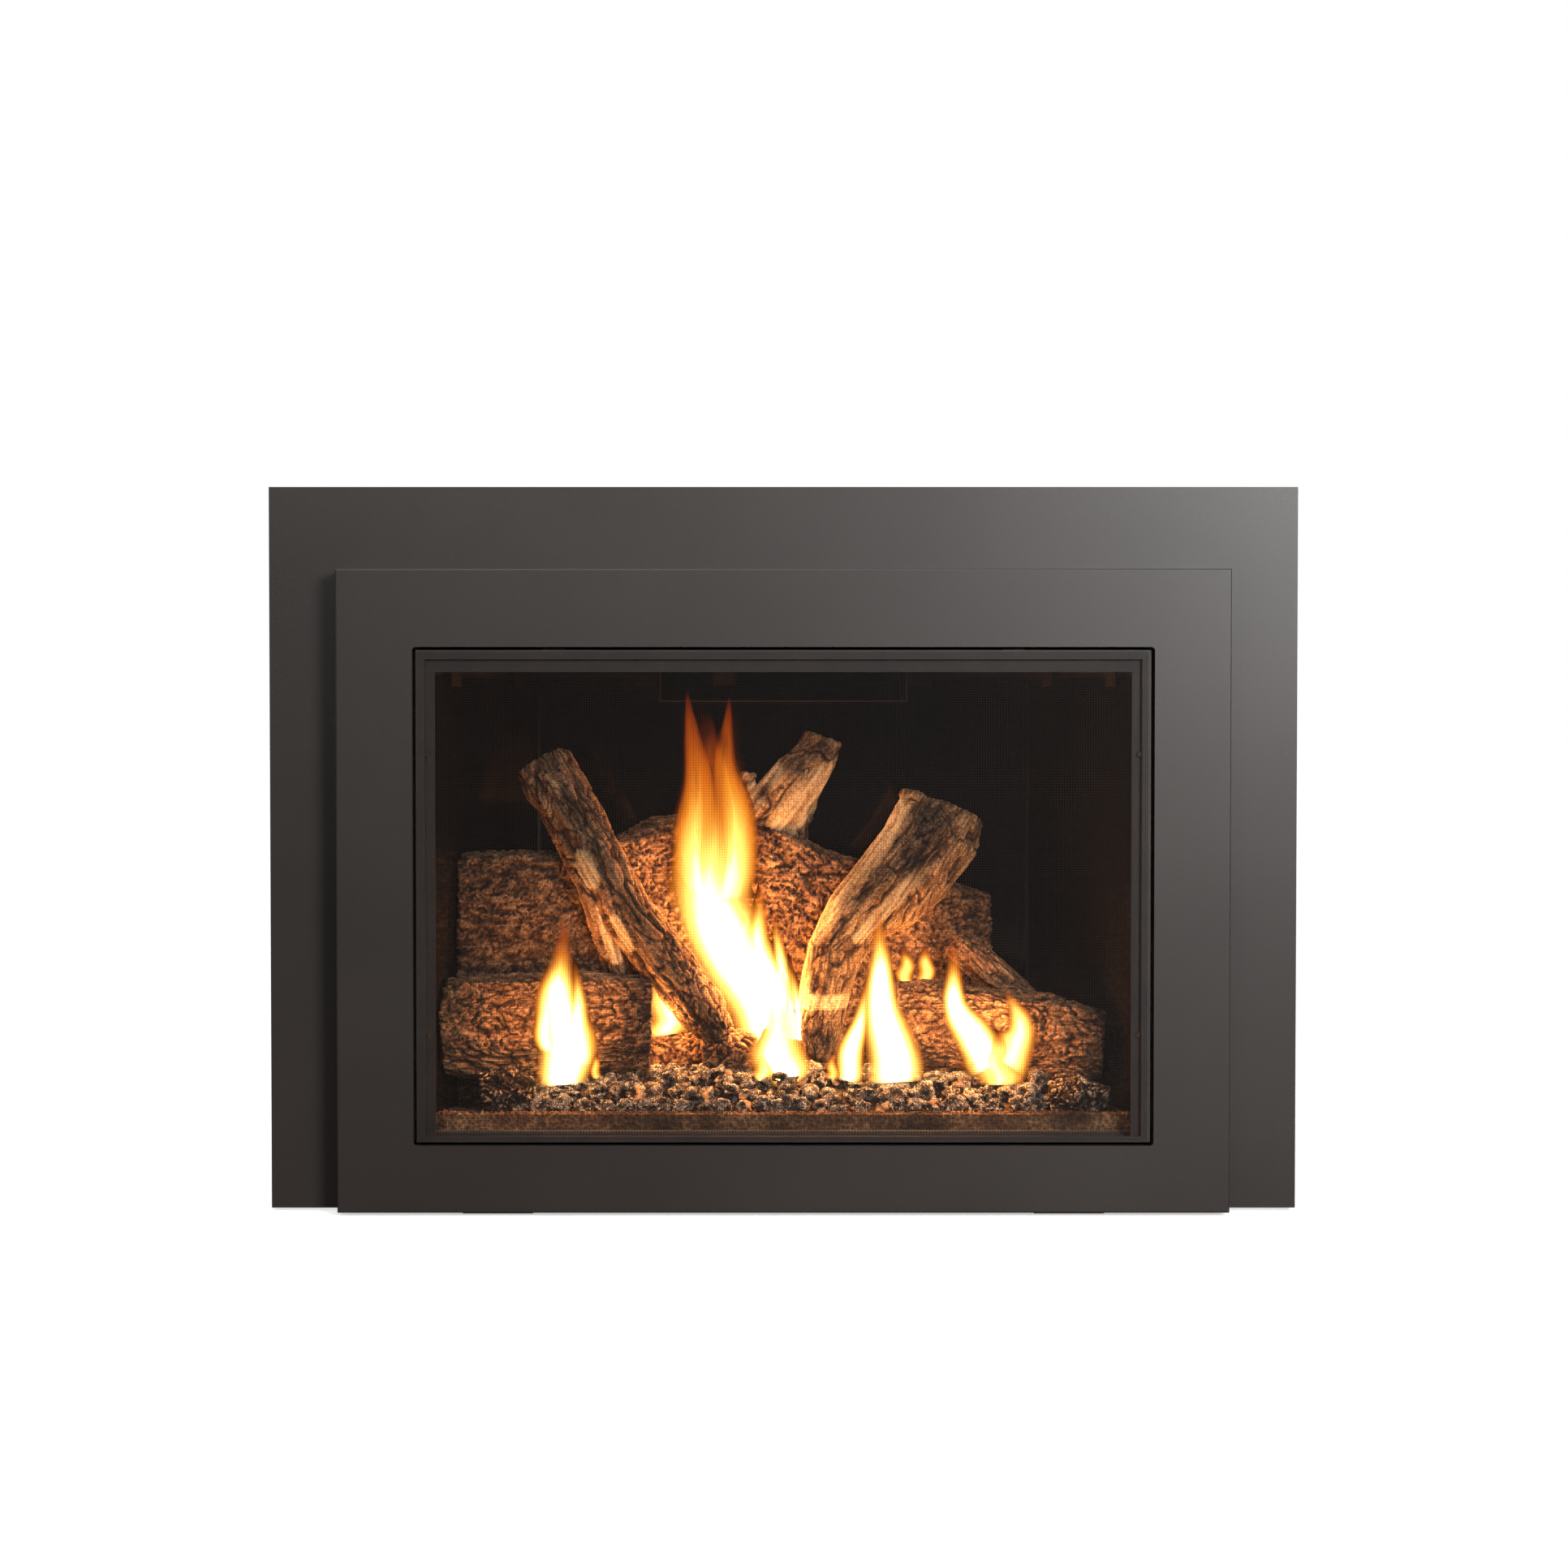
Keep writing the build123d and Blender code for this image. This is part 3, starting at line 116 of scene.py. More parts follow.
# Textured powder coat: to the eye a warm charcoal, whose sheen is broken by a fine grain. The grain
# is drawn at about 1 mm, coarser than it is, so that it shows.
powder_black, tree, shader, place = start("matt_black_powder_coat", 0.42)
warm_black = mottle(tree, place, 200, 3.0, ((0.3, "#211b18"), (0.7, "#28221f")))
speckle = add(tree, "ShaderNodeTexNoise", {"Scale": grain(1.11), "Detail": 2.0}, {"Vector": place})
surface(tree, shader, warm_black, speckle.outputs["Fac"], 0.35, 0.0002)
sheen = add(tree, "ShaderNodeMapRange", {"To Min": 0.36, "To Max": 0.48}, {"Value": speckle.outputs["Fac"]})
tree.links.new(sheen.outputs["Result"], shader.inputs["Roughness"])
dress(powder_black, "overlay_front", "backer_frame")

# --- Magnets, carrier strips and screws --------------------------------------------------------
# Nickel plated discs on the overlay's straps, folded strips that carry the backer, and the hexagon
# screws that hold the strips to the casing.


def even_finish(name, roughness, metallic, millimetres, detail, tones, relief=0.0, height=0.0001):
    """A finish with one fine grain, which sets its tone and its relief."""
    made, tree, shader, place = start(name, roughness, metallic)
    texture = add(tree, "ShaderNodeTexNoise", {"Scale": grain(millimetres), "Detail": detail}, {
        "Vector": place})
    low, high = tones
    tone = add(tree, "ShaderNodeValToRGB", {"stops": ((0.3, low), (0.7, high))}, {
        "Fac": texture.outputs["Fac"]})
    surface(tree, shader, tone.outputs["Color"], texture.outputs["Fac"] if relief else None, relief, height)
    return made


# Nickel plate: a warm bright grey with very fine turning marks.
nickel = even_finish("bright_nickel_plate", 0.22, 1.0, 0.667, 1.0, ("#c9c5bd", "#c9c5bd"), 0.1)
dress(nickel, "overlay_magnets")

# Hot-dip galvanised sheet: pale grey crystals about 11 mm across, each a little lighter or darker.
galvanised, tree, shader, place = start("galvanised_sheet", 0.42, 1.0)
crystals = add(tree, "ShaderNodeTexVoronoi", {"Scale": grain(11)}, {"Vector": place})
crystal = add(tree, "ShaderNodeSeparateColor", {}, {"Color": crystals.outputs["Color"]}).outputs["Red"]
dross = add(tree, "ShaderNodeTexNoise", {"Scale": grain(3.33), "Detail": 3.0}, {"Vector": place})
zinc_greys = add(tree, "ShaderNodeValToRGB", {"stops": ((0.0, "#94989b"), (1.0, "#a8acaf"))}, {
    "Fac": crystal})
surface(tree, shader, zinc_greys.outputs["Color"], dross.outputs["Fac"], 0.12, 0.0002)
dull = add(tree, "ShaderNodeMapRange", {"To Min": 0.35, "To Max": 0.51}, {"Value": crystal})
tree.links.new(dull.outputs["Result"], shader.inputs["Roughness"])
dress(galvanised, "backer_strips")

# Zinc plated screws: a slightly yellow, soft shine with fine pits.
zinc = even_finish("zinc_plated_steel", 0.34, 1.0, 0.909, 2.0, ("#a9a596", "#c4c0ae"), 0.15)
dress(zinc, "strip_screws")

# --- Casing ------------------------------------------------------------------------------------
# A galvanised wrap with a tapered back, spot-welded to its base pan, and a folded top panel with
# two holes for the flue collars.
dress(galvanised, "outer_casing", "casing_top")

# --- Firebox shell, ducts and collars ----------------------------------------------------------
# Welded sheet: a tapered shell in flat black, with its face plate, baffle and guides, and an
# aluminised air duct behind it with the two collars.

# Aluminised steel: an even, soft grey with a faint rolling direction and heat-dulled patches.
aluminised, tree, shader, place = start("aluminised_sheet", 0.4, 1.0)
upwards = add(tree, "ShaderNodeMapping", {"Scale": (1.0, 1.0, 0.05)}, {"Vector": place}).outputs["Vector"]
rolled = add(tree, "ShaderNodeTexNoise", {"Scale": grain(1.43), "Detail": 2.0}, {"Vector": upwards})
dulled = mottle(tree, place, 71.4, 4.0, ((0.3, "#7f7f7c"), (0.7, "#a2a29d")))
surface(tree, shader, dulled, rolled.outputs["Fac"], 0.12, 0.0001)
dress(aluminised, "exhaust_collar", "intake_collar", "intake_duct")

# High temperature black on the pieces round the fire: flat, slightly chalky, browner in patches.
heat_black, tree, shader, place = start("flat_heat_resistant_black", 0.62)
baked = mottle(tree, place, 38.5, 5.0, ((0.3, "#211916"), (0.75, "#30261f")))
dry = add(tree, "ShaderNodeTexNoise", {"Scale": grain(1.25), "Detail": 1.0}, {"Vector": place})
surface(tree, shader, baked, dry.outputs["Fac"], 0.2, 0.0002)
dress(heat_black, "firebox_face", "firebox_shell", "liner_clips", "ceiling_baffle", "restrictor_guides",
      "door_frame")

# Stainless sheet of the burner and the pilot: brushed along X, straw-coloured by heat in places.
stainless, tree, shader, place = start("brushed_stainless_sheet", 0.32, 1.0)
sideways = add(tree, "ShaderNodeMapping", {"Scale": (0.04, 1.0, 1.0)}, {"Vector": place}).outputs["Vector"]
brushed = add(tree, "ShaderNodeTexNoise", {"Scale": grain(0.714), "Detail": 2.0}, {"Vector": sideways})
tint = mottle(tree, place, 111, 2.0, ((0.35, "#a8a6a1"), (0.6, "#a08f72"), (0.75, "#7a6a5c")))
surface(tree, shader, tint, brushed.outputs["Fac"], 0.15, 0.0001)
dress(stainless, "burner_pan", "air_shutter", "pilot_hood")

# The restrictor hangs in the flue gas: stainless under a dull brown-black film of soot.
sooted, tree, shader, place = start("sooted_stainless_sheet", 0.7, 0.4)
film = add(tree, "ShaderNodeTexNoise", {"Scale": grain(25), "Detail": 5.0}, {"Vector": place})
sooty = add(tree, "ShaderNodeValToRGB", {"stops": ((0.3, "#16120f"), (0.75, "#2c2520"))}, {
    "Fac": film.outputs["Fac"]})
surface(tree, shader, sooty.outputs["Color"], film.outputs["Fac"], 0.1, 0.0002)
dress(sooted, "flue_restrictor")

# --- Reflective liner panels -------------------------------------------------------------------
# Black ceramic glass, cut from flat sheet, on the two sides and the back of the firebox. Clips hold
# it at its edges, and its polished face mirrors the fire.

# Black ceramic glass: a polished face over a body that lets nothing through, with faint ripple and
# a thin, uneven film of dust.
black_glass, tree, shader, place = start("black_ceramic_glass", 0.04)
shader.inputs["Base Color"].default_value = linear("#0e0b0a")
ripple = add(tree, "ShaderNodeTexNoise", {"Scale": grain(111), "Detail": 1.0}, {"Vector": place})
wavy = add(tree, "ShaderNodeBump", {"Strength": 0.04, "Distance": 0.002}, {"Height": ripple.outputs["Fac"]})
tree.links.new(wavy.outputs["Normal"], shader.inputs["Normal"])
dust = add(tree, "ShaderNodeTexNoise", {"Scale": grain(16.7), "Detail": 6.0}, {"Vector": place})
film = add(tree, "ShaderNodeMapRange", {"To Min": 0.03, "To Max": 0.09}, {"Value": dust.outputs["Fac"]})
tree.links.new(film.outputs["Result"], shader.inputs["Roughness"])
dress(black_glass, "liner_panel_left", "liner_panel_right", "liner_panel_back")

# --- Door glass, gasket and clips --------------------------------------------------------------
# One sheet of clear ceramic glass in the door frame, sealed by a flat woven tape, and leaf clips of
# spring steel that grip the frame's rim.

# Clear ceramic glass: all but invisible, with a weak reflection and a thin film of dust.
clear_glass = bpy.data.materials.new("clear_ceramic_glass")
clear_glass.use_nodes = True
tree = clear_glass.node_tree
tree.nodes.remove(tree.nodes["Principled BSDF"])
place = add(tree, "ShaderNodeTexCoord").outputs["Object"]
dust = add(tree, "ShaderNodeTexNoise", {"Scale": grain(143), "Detail": 4.0}, {"Vector": place})
film = add(tree, "ShaderNodeMapRange", {"To Min": 0.02, "To Max": 0.08}, {"Value": dust.outputs["Fac"]})
through = add(tree, "ShaderNodeBsdfTransparent", {"Color": (0.97, 0.965, 0.955, 1)})
mirror_face = add(tree, "ShaderNodeBsdfGlossy", {}, {"Roughness": film.outputs["Result"]})
joined = add(tree, "ShaderNodeMixShader", {0: 0.012}, {1: through.outputs[0], 2: mirror_face.outputs[0]})
tree.links.new(joined.outputs[0], tree.nodes["Material Output"].inputs["Surface"])
dress(clear_glass, "door_glass")

# Woven glass fibre tape: grey-white, in a plain weave whose threads lie 3 mm apart. A wave
# texture's bands lie tau / 20 apart at a scale of 1.
thread_pitch = 0.003
tape, tree, shader, place = start("woven_glass_fibre_tape", 0.85)
threads = [add(tree, "ShaderNodeTexWave", {
    "Scale": math.tau / 20 / thread_pitch, "bands_direction": way, "Distortion": 1.0}, {
    "Vector": place}).outputs["Fac"] for way in "XZ"]
weave = add(tree, "ShaderNodeMath", {"operation": "MULTIPLY"}, {0: threads[0], 1: threads[1]})
glass_yarn = add(tree, "ShaderNodeValToRGB", {"stops": ((0.0, "#3d3a37"), (0.8, "#7d7872"))}, {
    "Fac": weave.outputs[0]})
surface(tree, shader, glass_yarn.outputs["Color"], weave.outputs[0], 0.5, 0.0004)
dress(tape, "door_gasket")

# Spring steel: blued and bright, with fine drawing marks.
spring = even_finish("spring_steel_strip", 0.28, 1.0, 1.11, 2.0, ("#6f7276", "#8f9296"), 0.1)
dress(spring, "door_clips")

# --- Safety screen -----------------------------------------------------------------------------
# Black wire woven to a fine mesh and clamped in a light rim. It hangs on four pins in front of the
# glass, so that nobody touches the hot door.
dress(heat_black, "screen_rim")

# Blackened wire: satin, with a trace of drawing marks.
wire_black, tree, shader, place = start("blackened_steel_wire", 0.6)
shader.inputs["Specular IOR Level"].default_value = 0.2
surface(tree, shader, mottle(tree, place, 0.833, 2.0, ((0.3, "#140f0d"), (0.7, "#1f1815"))))


def plain_object(name, data):
    """An object at the origin that holds a mesh, a lamp or a camera."""
    item = bpy.data.objects.new(name, data)
    bpy.context.scene.collection.objects.link(item)
    return item


def settle(item):
    """Turn an object's evaluated modifiers into its plain mesh."""
    bpy.context.view_layer.update()
    done = bpy.data.meshes.new_from_object(item.evaluated_get(bpy.context.evaluated_depsgraph_get()))
    item.modifiers.clear()
    item.data = done
    return item


def sized_tree(name, labels):
    """A Geometry Nodes tree with named sizes as its inputs, and each input's identifier."""
    tree = bpy.data.node_groups.new(name, "GeometryNodeTree")
    tree.interface.new_socket("Geometry", in_out="OUTPUT", socket_type="NodeSocketGeometry")
    inlets = {}
    for label in labels:
        socket = tree.interface.new_socket(label, in_out="INPUT", socket_type="NodeSocketFloat")
        inlets[label] = socket.identifier
    return tree, add(tree, "NodeGroupInput"), inlets


def end_tree(tree, instances, material):
    """End a tree in plain geometry with its material."""
    real = add(tree, "GeometryNodeRealizeInstances", {}, {"Geometry": instances})
    coated = add(tree, "GeometryNodeSetMaterial", {"Material": material}, {"Geometry": real.outputs[0]})
    add(tree, "NodeGroupOutput", {}, {0: coated.outputs[0]})


def grow(name, tree, inlets, sizes, centre):
    """The plain mesh that a tree makes at given sizes, round a centre."""
    item = plain_object(name, bpy.data.meshes.new(name))
    maker = item.modifiers.new(tree.name, "NODES")
    maker.node_group = tree
    for label, size in sizes.items():
        maker[inlets[label]] = size
    settle(item)
    for vertex in item.data.vertices:
        vertex.co += centre
    return item


def row_of_wires(tree, group, axis, layer):
    """Wires side by side along X (axis 0) or Z (axis 1), so many half wires in front or behind."""
    span, length = ("Width", "Height") if axis == 0 else ("Height", "Width")
    pitch, thick = group.outputs["Pitch"], group.outputs["Wire"]
    count = add(tree, "ShaderNodeMath", {"operation": "DIVIDE"}, {0: group.outputs[span], 1: pitch})
    low = add(tree, "ShaderNodeMath", {"operation": "MULTIPLY", 1: -0.5}, {0: group.outputs[span]})
    first = add(tree, "ShaderNodeCombineXYZ", {}, {2 * axis: low.outputs[0]})
    step = add(tree, "ShaderNodeCombineXYZ", {}, {2 * axis: pitch})
    row = add(tree, "GeometryNodeMeshLine", {}, {
        "Count": count.outputs[0], "Start Location": first.outputs[0], "Offset": step.outputs[0]})
    size = add(tree, "ShaderNodeCombineXYZ", {}, {
        2 * axis: thick, 1: thick, 2 - 2 * axis: group.outputs[length]})
    wire = add(tree, "GeometryNodeMeshCube", {}, {"Size": size.outputs[0]})
    shift = add(tree, "ShaderNodeMath", {"operation": "MULTIPLY", 1: layer}, {0: thick})
    apart = add(tree, "ShaderNodeCombineXYZ", {}, {1: shift.outputs[0]})
    moved = add(tree, "GeometryNodeSetPosition", {}, {
        "Geometry": row.outputs["Mesh"], "Offset": apart.outputs[0]})
    laid = add(tree, "GeometryNodeInstanceOnPoints", {}, {
        "Points": moved.outputs["Geometry"], "Instance": wire.outputs["Mesh"]})
    return laid.outputs["Instances"]


weave_tree, group, inlets = sized_tree("woven_wire", ("Width", "Height", "Pitch", "Wire"))
upright = row_of_wires(weave_tree, group, 0, -0.5)
level = row_of_wires(weave_tree, group, 1, 0.5)
both = add(weave_tree, "GeometryNodeJoinGeometry")
weave_tree.links.new(upright, both.inputs[0])
weave_tree.links.new(level, both.inputs[0])
end_tree(weave_tree, both.outputs[0], wire_black)

mesh_low, mesh_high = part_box("screen_mesh")
hem, wire_pitch, wire_thickness = 0.002, 0.0016, 0.00024
screen = grow("screen_weave", weave_tree, inlets, {
    "Width": mesh_high.x - mesh_low.x - hem, "Height": mesh_high.z - mesh_low.z - hem,
    "Pitch": wire_pitch, "Wire": wire_thickness}, (mesh_low + mesh_high) / 2)
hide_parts("screen_mesh")
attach(screen, "screen")

# --- Floor board and ember bank ----------------------------------------------------------------
# Vacuum-formed ceramic fibre, coloured brown and sprinkled with grit, with a recess for the burner
# and a raised bank along the front.

# Gritty fibre board: earth brown with crumbs of about 4 mm, darker in sooty patches.
grit, tree, shader, place = start("gritty_brown_fibre_board", 0.93)
pebbled = add(tree, "ShaderNodeTexVoronoi", {"Scale": grain(3.85)}, {"Vector": place})
earth = add(tree, "ShaderNodeTexNoise", {"Scale": grain(29.4), "Detail": 8.0, "Roughness": 0.7}, {
    "Vector": place})
height = add(tree, "ShaderNodeMath", {"operation": "MULTIPLY_ADD", 1: 0.35}, {
    0: pebbled.outputs["Distance"], 2: earth.outputs["Fac"]})
brown = add(tree, "ShaderNodeValToRGB", {
    "stops": ((0.35, "#1a110b"), (0.52, "#43301f"), (0.72, "#6e4d32"), (0.95, "#b48c64"))}, {
    "Fac": height.outputs[0]})
smudge = mottle(tree, place, 111, 5.0, ((0.38, "#8c8c8c"), (0.6, "#ffffff")))
smoked = add(tree, "ShaderNodeMix", {"data_type": "RGBA", "blend_type": "MULTIPLY", 0: 1.0}, {
    6: brown.outputs["Color"], 7: smudge})
surface(tree, shader, smoked.outputs[2], height.outputs[0], 1.0, 0.004)
dress(grit, "floor_board", "ember_bank")

# Grit that the board sheds: crumbs of 2 to 6 mm lie along its front edge and hide the sharp line.
grit_tree, group, inlets = sized_tree("shed_grit", ("Width", "Depth", "Crumb", "Each square metre"))
strip = add(grit_tree, "GeometryNodeMeshGrid", {"Vertices X": 2, "Vertices Y": 2}, {
    "Size X": group.outputs["Width"], "Size Y": group.outputs["Depth"]})
fallen = add(grit_tree, "GeometryNodeDistributePointsOnFaces", {"Seed": 12}, {
    "Mesh": strip.outputs["Mesh"], "Density": group.outputs["Each square metre"]})
crumb = add(grit_tree, "GeometryNodeMeshIcoSphere", {"Subdivisions": 1}, {"Radius": group.outputs["Crumb"]})
turned = add(grit_tree, "FunctionNodeRandomValue", {
    "data_type": "FLOAT_VECTOR", 1: (math.tau, math.tau, math.tau), "Seed": 13})
worn = add(grit_tree, "FunctionNodeRandomValue", {
    "data_type": "FLOAT_VECTOR", 0: (0.5, 0.4, 0.4), 1: (1.5, 1.2, 1.0), "Seed": 14})
laid = add(grit_tree, "GeometryNodeInstanceOnPoints", {}, {
    "Points": fallen.outputs["Points"], "Instance": crumb.outputs["Mesh"],
    "Rotation": turned.outputs[0], "Scale": worn.outputs[0]})
end_tree(grit_tree, laid.outputs["Instances"], grit)

board_low, board_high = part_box("floor_board")
shed_width = 0.985 * (board_high.x - board_low.x)
shed_depth, inset, crumb_radius, crumbs_each_square_metre = 0.016, 0.002, 0.0026, 80000.0
crumbs = grow("floor_grit", grit_tree, inlets, {
    "Width": shed_width, "Depth": shed_depth, "Crumb": crumb_radius,
    "Each square metre": crumbs_each_square_metre},
    Vector((0.0, board_low.y + inset + shed_depth / 2, board_high.z)))
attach(crumbs, "insert")

# --- Logs --------------------------------------------------------------------------------------
# Moulded ceramic fibre, cast from real wood and painted by hand: dark in the furrows, dry-brushed
# pale on the ridges, blackened where flames would lick them.

# Unless it is set, the seed of this noise comes from the clock, and every run carves other bark.
noise.seed_set(1)


def fine_copy(name, voxel):
    """A CAD node's solids as one fine, closed skin with its edges worn round."""
    rough = nodes[name].data.copy()
    joined = bmesh.new()
    joined.from_mesh(rough)
    bmesh.ops.remove_doubles(joined, verts=joined.verts, dist=1e-5)
    joined.to_mesh(rough)
    joined.free()
    item = plain_object("fine_" + name, rough)
    remesh = item.modifiers.new("skin", "REMESH")
    remesh.mode = "VOXEL"
    remesh.voxel_size = voxel
    settle(item)
    mesh = item.data
    points = np.empty(len(mesh.vertices) * 3)
    mesh.vertices.foreach_get("co", points)
    points = points.reshape(-1, 3)
    edges = np.empty(len(mesh.edges) * 2, int)
    mesh.edges.foreach_get("vertices", edges)
    first, second = edges.reshape(-1, 2).T
    links = np.bincount(first, minlength=len(points)) + np.bincount(second, minlength=len(points))
    # Each round draws the points towards their neighbours and then pushes them out again, which
    # rounds the edges and keeps the log's thickness.
    rounds, inwards, outwards = 6, 0.6, -0.5
    for step in range(2 * rounds):
        total = np.zeros_like(points)
        np.add.at(total, first, points[second])
        np.add.at(total, second, points[first])
        points += (total / links[:, None] - points) * (inwards if step % 2 == 0 else outwards)
    mesh.vertices.foreach_set("co", points.ravel())
    mesh.update()
    return item, points


def shade_smooth(mesh, **values):
    """Shade a mesh smoothly and keep named values at its points."""
    for label, numbers in values.items():
        attribute = mesh.attributes.new(label, "FLOAT", "POINT")
        attribute.data.foreach_set("value", np.asarray(numbers, np.float32))
    for polygon in mesh.polygons:
        polygon.use_smooth = True


def along_spine(points, spine):
    """Each point's distance along a bent line, and its place across that line."""
    spine = np.array(spine)
    best = np.full(len(points), 1e9)
    run = np.zeros(len(points))
    across = np.zeros((len(points), 2))
    done = 0.0
    for a, b in zip(spine, spine[1:]):
        ahead = b - a
        length = np.linalg.norm(ahead)
        ahead = ahead / length
        side = np.cross(ahead, (0.0, 1.0, 0.0))
        side /= np.linalg.norm(side)
        up = np.cross(side, ahead)
        t = (points - a) @ ahead
        gap = points - a - np.clip(t, 0, length)[:, None] * ahead
        distance = np.linalg.norm(gap, axis=1)
        nearer = distance < best
        best = np.where(nearer, distance, best)
        run = np.where(nearer, done + t, run)
        across[nearer, 0] = (gap @ side)[nearer]
        across[nearer, 1] = (gap @ up)[nearer]
        done += length
    return run, across


def carve(name, spine, ridge, stretch, depth, seed, plates=0.45, bare=(), burnt=(), voxel=0.0016):
    """A log with ridged bark along its run, cracked into plates, and smooth where it is bare."""
    item, points = fine_copy(name, voxel)
    run, across = along_spine(points, spine)
    count = len(points)
    normals = np.empty(count * 3)
    item.data.vertex_normals.foreach_get("vector", normals)
    normals = normals.reshape(-1, 3)
    stripped = np.zeros(count)
    for (x0, z0), (x1, z1), radius in bare:
        start_at, way = np.array((x0, z0)), np.array((x1 - x0, z1 - z0))
        flat = points[:, (0, 2)] - start_at
        t = np.clip(flat @ way / (way @ way), 0, 1)
        distance = np.linalg.norm(flat - t[:, None] * way, axis=1)
        stripped = np.maximum(stripped, np.clip(3 - 3 * distance / radius, 0, 1))
    # Bark is furrows where a bent noise crosses zero, splits across them, and fibre along them.
    # Bare wood is long, shallow grain. All of it is in ridge widths, stretched along the run.
    crest = np.empty(count)
    split_shift = Vector((5, 9, 2))
    for i in range(count):
        p = Vector((run[i] / (ridge * stretch), across[i, 0] / ridge, across[i, 1] / ridge))
        p += Vector((seed * 7.3, seed * 3.1, seed * 5.7))
        warp = noise.noise_vector(p * 0.35) * 1.1 + noise.noise_vector(p * 1.3) * 0.4
        q = p * 0.8 + warp * 0.7
        lumpy = 0.5 + 0.6 * noise.noise(p * 0.9)
        furrow = min(1.0, abs(noise.noise(q)) * (5 + 8 * lumpy))
        split = min(1.0, abs(noise.noise(Vector((q.x * 2.6, q.y * 1.3, q.z * 1.3)) + split_shift)) * 6)
        fibre = 0.5 + 0.7 * noise.noise(Vector((p.x * 1.1, p.y * 4.2, p.z * 4.2)) + warp * 0.5)
        wood = 0.5 + 0.8 * noise.noise(Vector((p.x * 0.35, p.y * 2.8, p.z * 2.8)) + warp * 0.35)
        rough = (0.42 + 0.58 * furrow) * (1 - plates + plates * split) * (0.5 + 0.34 * fibre + 0.3 * lumpy)
        smooth = 0.7 + 0.42 * (wood - 0.5) + 0.06 * furrow
        crest[i] = rough + (smooth - rough) * stripped[i]
    crest = np.clip(crest, 0, 1.1)
    untouched = 0.65
    points += normals * ((crest - untouched) * depth)[:, None]
    item.data.vertices.foreach_set("co", points.ravel())
    char = np.zeros(count)
    for x, y, z, radius in burnt:
        distance = np.linalg.norm(points - (x, y, z), axis=1)
        char = np.maximum(char, np.clip(1.6 - 1.6 * distance / radius, 0, 1))
    shade_smooth(item.data, crest=crest, char=char, bare=stripped)
    item.data.update()
    return item


def painted_fibre(name, stops, pore_millimetres):
    """Painted fibre: colour by height in the carving, straw where bare, soot where burnt."""
    made, tree, shader, place = start(name, 0.9)
    crest, char, bare = [add(tree, "ShaderNodeAttribute", {"attribute_name": label}).outputs["Fac"]
                         for label in ("crest", "char", "bare")]
    pore = add(tree, "ShaderNodeTexNoise", {
        "Scale": grain(pore_millimetres), "Detail": 6.0, "Roughness": 0.65}, {"Vector": place})
    wash = add(tree, "ShaderNodeTexNoise", {"Scale": grain(62.5), "Detail": 4.0}, {"Vector": place})
    # The paint's crackle: cells of about 5 mm, bent by up to 12 mm, with darker seams.
    bent = add(tree, "ShaderNodeVectorMath", {"operation": "MULTIPLY_ADD", 1: (0.012, 0.012, 0.012)}, {
        0: wash.outputs["Color"], 2: place})
    cells = add(tree, "ShaderNodeTexVoronoi", {"feature": "DISTANCE_TO_EDGE", "Scale": grain(5.26)}, {
        "Vector": bent.outputs[0]})
    crackle = add(tree, "ShaderNodeMapRange", {"From Max": 0.12, "To Min": -0.42, "To Max": -0.2}, {
        "Value": cells.outputs["Distance"]})
    lifted = add(tree, "ShaderNodeMath", {"operation": "MULTIPLY_ADD", 1: 0.5}, {
        0: pore.outputs["Fac"], 2: crackle.outputs["Result"]})
    level = add(tree, "ShaderNodeMath", {"operation": "ADD"}, {0: crest, 1: lifted.outputs[0]})
    warm, straw, soot = [
        add(tree, "ShaderNodeValToRGB", {"stops": tones}, {"Fac": level.outputs[0]}).outputs["Color"]
        for tones in (stops,
                      ((0.3, "#4a3320"), (0.48, "#8a6848"), (0.66, "#b8946a"), (0.9, "#e2c69c")),
                      ((0.3, "#0a0806"), (0.7, "#281e17"), (0.95, "#5c4838")))]
    shade = add(tree, "ShaderNodeValToRGB", {"stops": ((0.3, "#9a9a9a"), (0.7, "#ffffff"))}, {
        "Fac": wash.outputs["Fac"]})
    peeled = add(tree, "ShaderNodeMix", {"data_type": "RGBA"}, {0: bare, 6: warm, 7: straw})
    washed = add(tree, "ShaderNodeMix", {"data_type": "RGBA", "blend_type": "MULTIPLY", 0: 0.8}, {
        6: peeled.outputs[2], 7: shade.outputs["Color"]})
    licked = add(tree, "ShaderNodeMix", {"data_type": "RGBA"}, {0: char, 6: washed.outputs[2], 7: soot})
    shader.inputs["Specular IOR Level"].default_value = 0.2
    surface(tree, shader, licked.outputs[2], level.outputs[0], 0.55, 0.0012)
    return made


# Painted bark: near black in the cracks, grey umber on the plates, tan where the brush caught it.
bark = painted_fibre("painted_fibre_bark", (
    (0.12, "#160e09"), (0.38, "#38271a"), (0.6, "#634630"), (0.8, "#876346"), (1.0, "#b98f68")), 2.38)
# Bare driftwood: straw and tan, with long grain lines and smoky streaks.
drift = painted_fibre("painted_fibre_driftwood", (
    (0.15, "#1a110b"), (0.4, "#402c1d"), (0.62, "#694c34"), (0.82, "#92704e"), (1.0, "#c49d72")), 2.38)
# Charcoal: black, with a pale ash line along each broken edge.
charcoal = painted_fibre("painted_fibre_charcoal", (
    (0.3, "#0b0908"), (0.6, "#2a211b"), (0.8, "#5d4b3d"), (0.95, "#b79d80"), (1.0, "#d2bb9c")), 3.33)

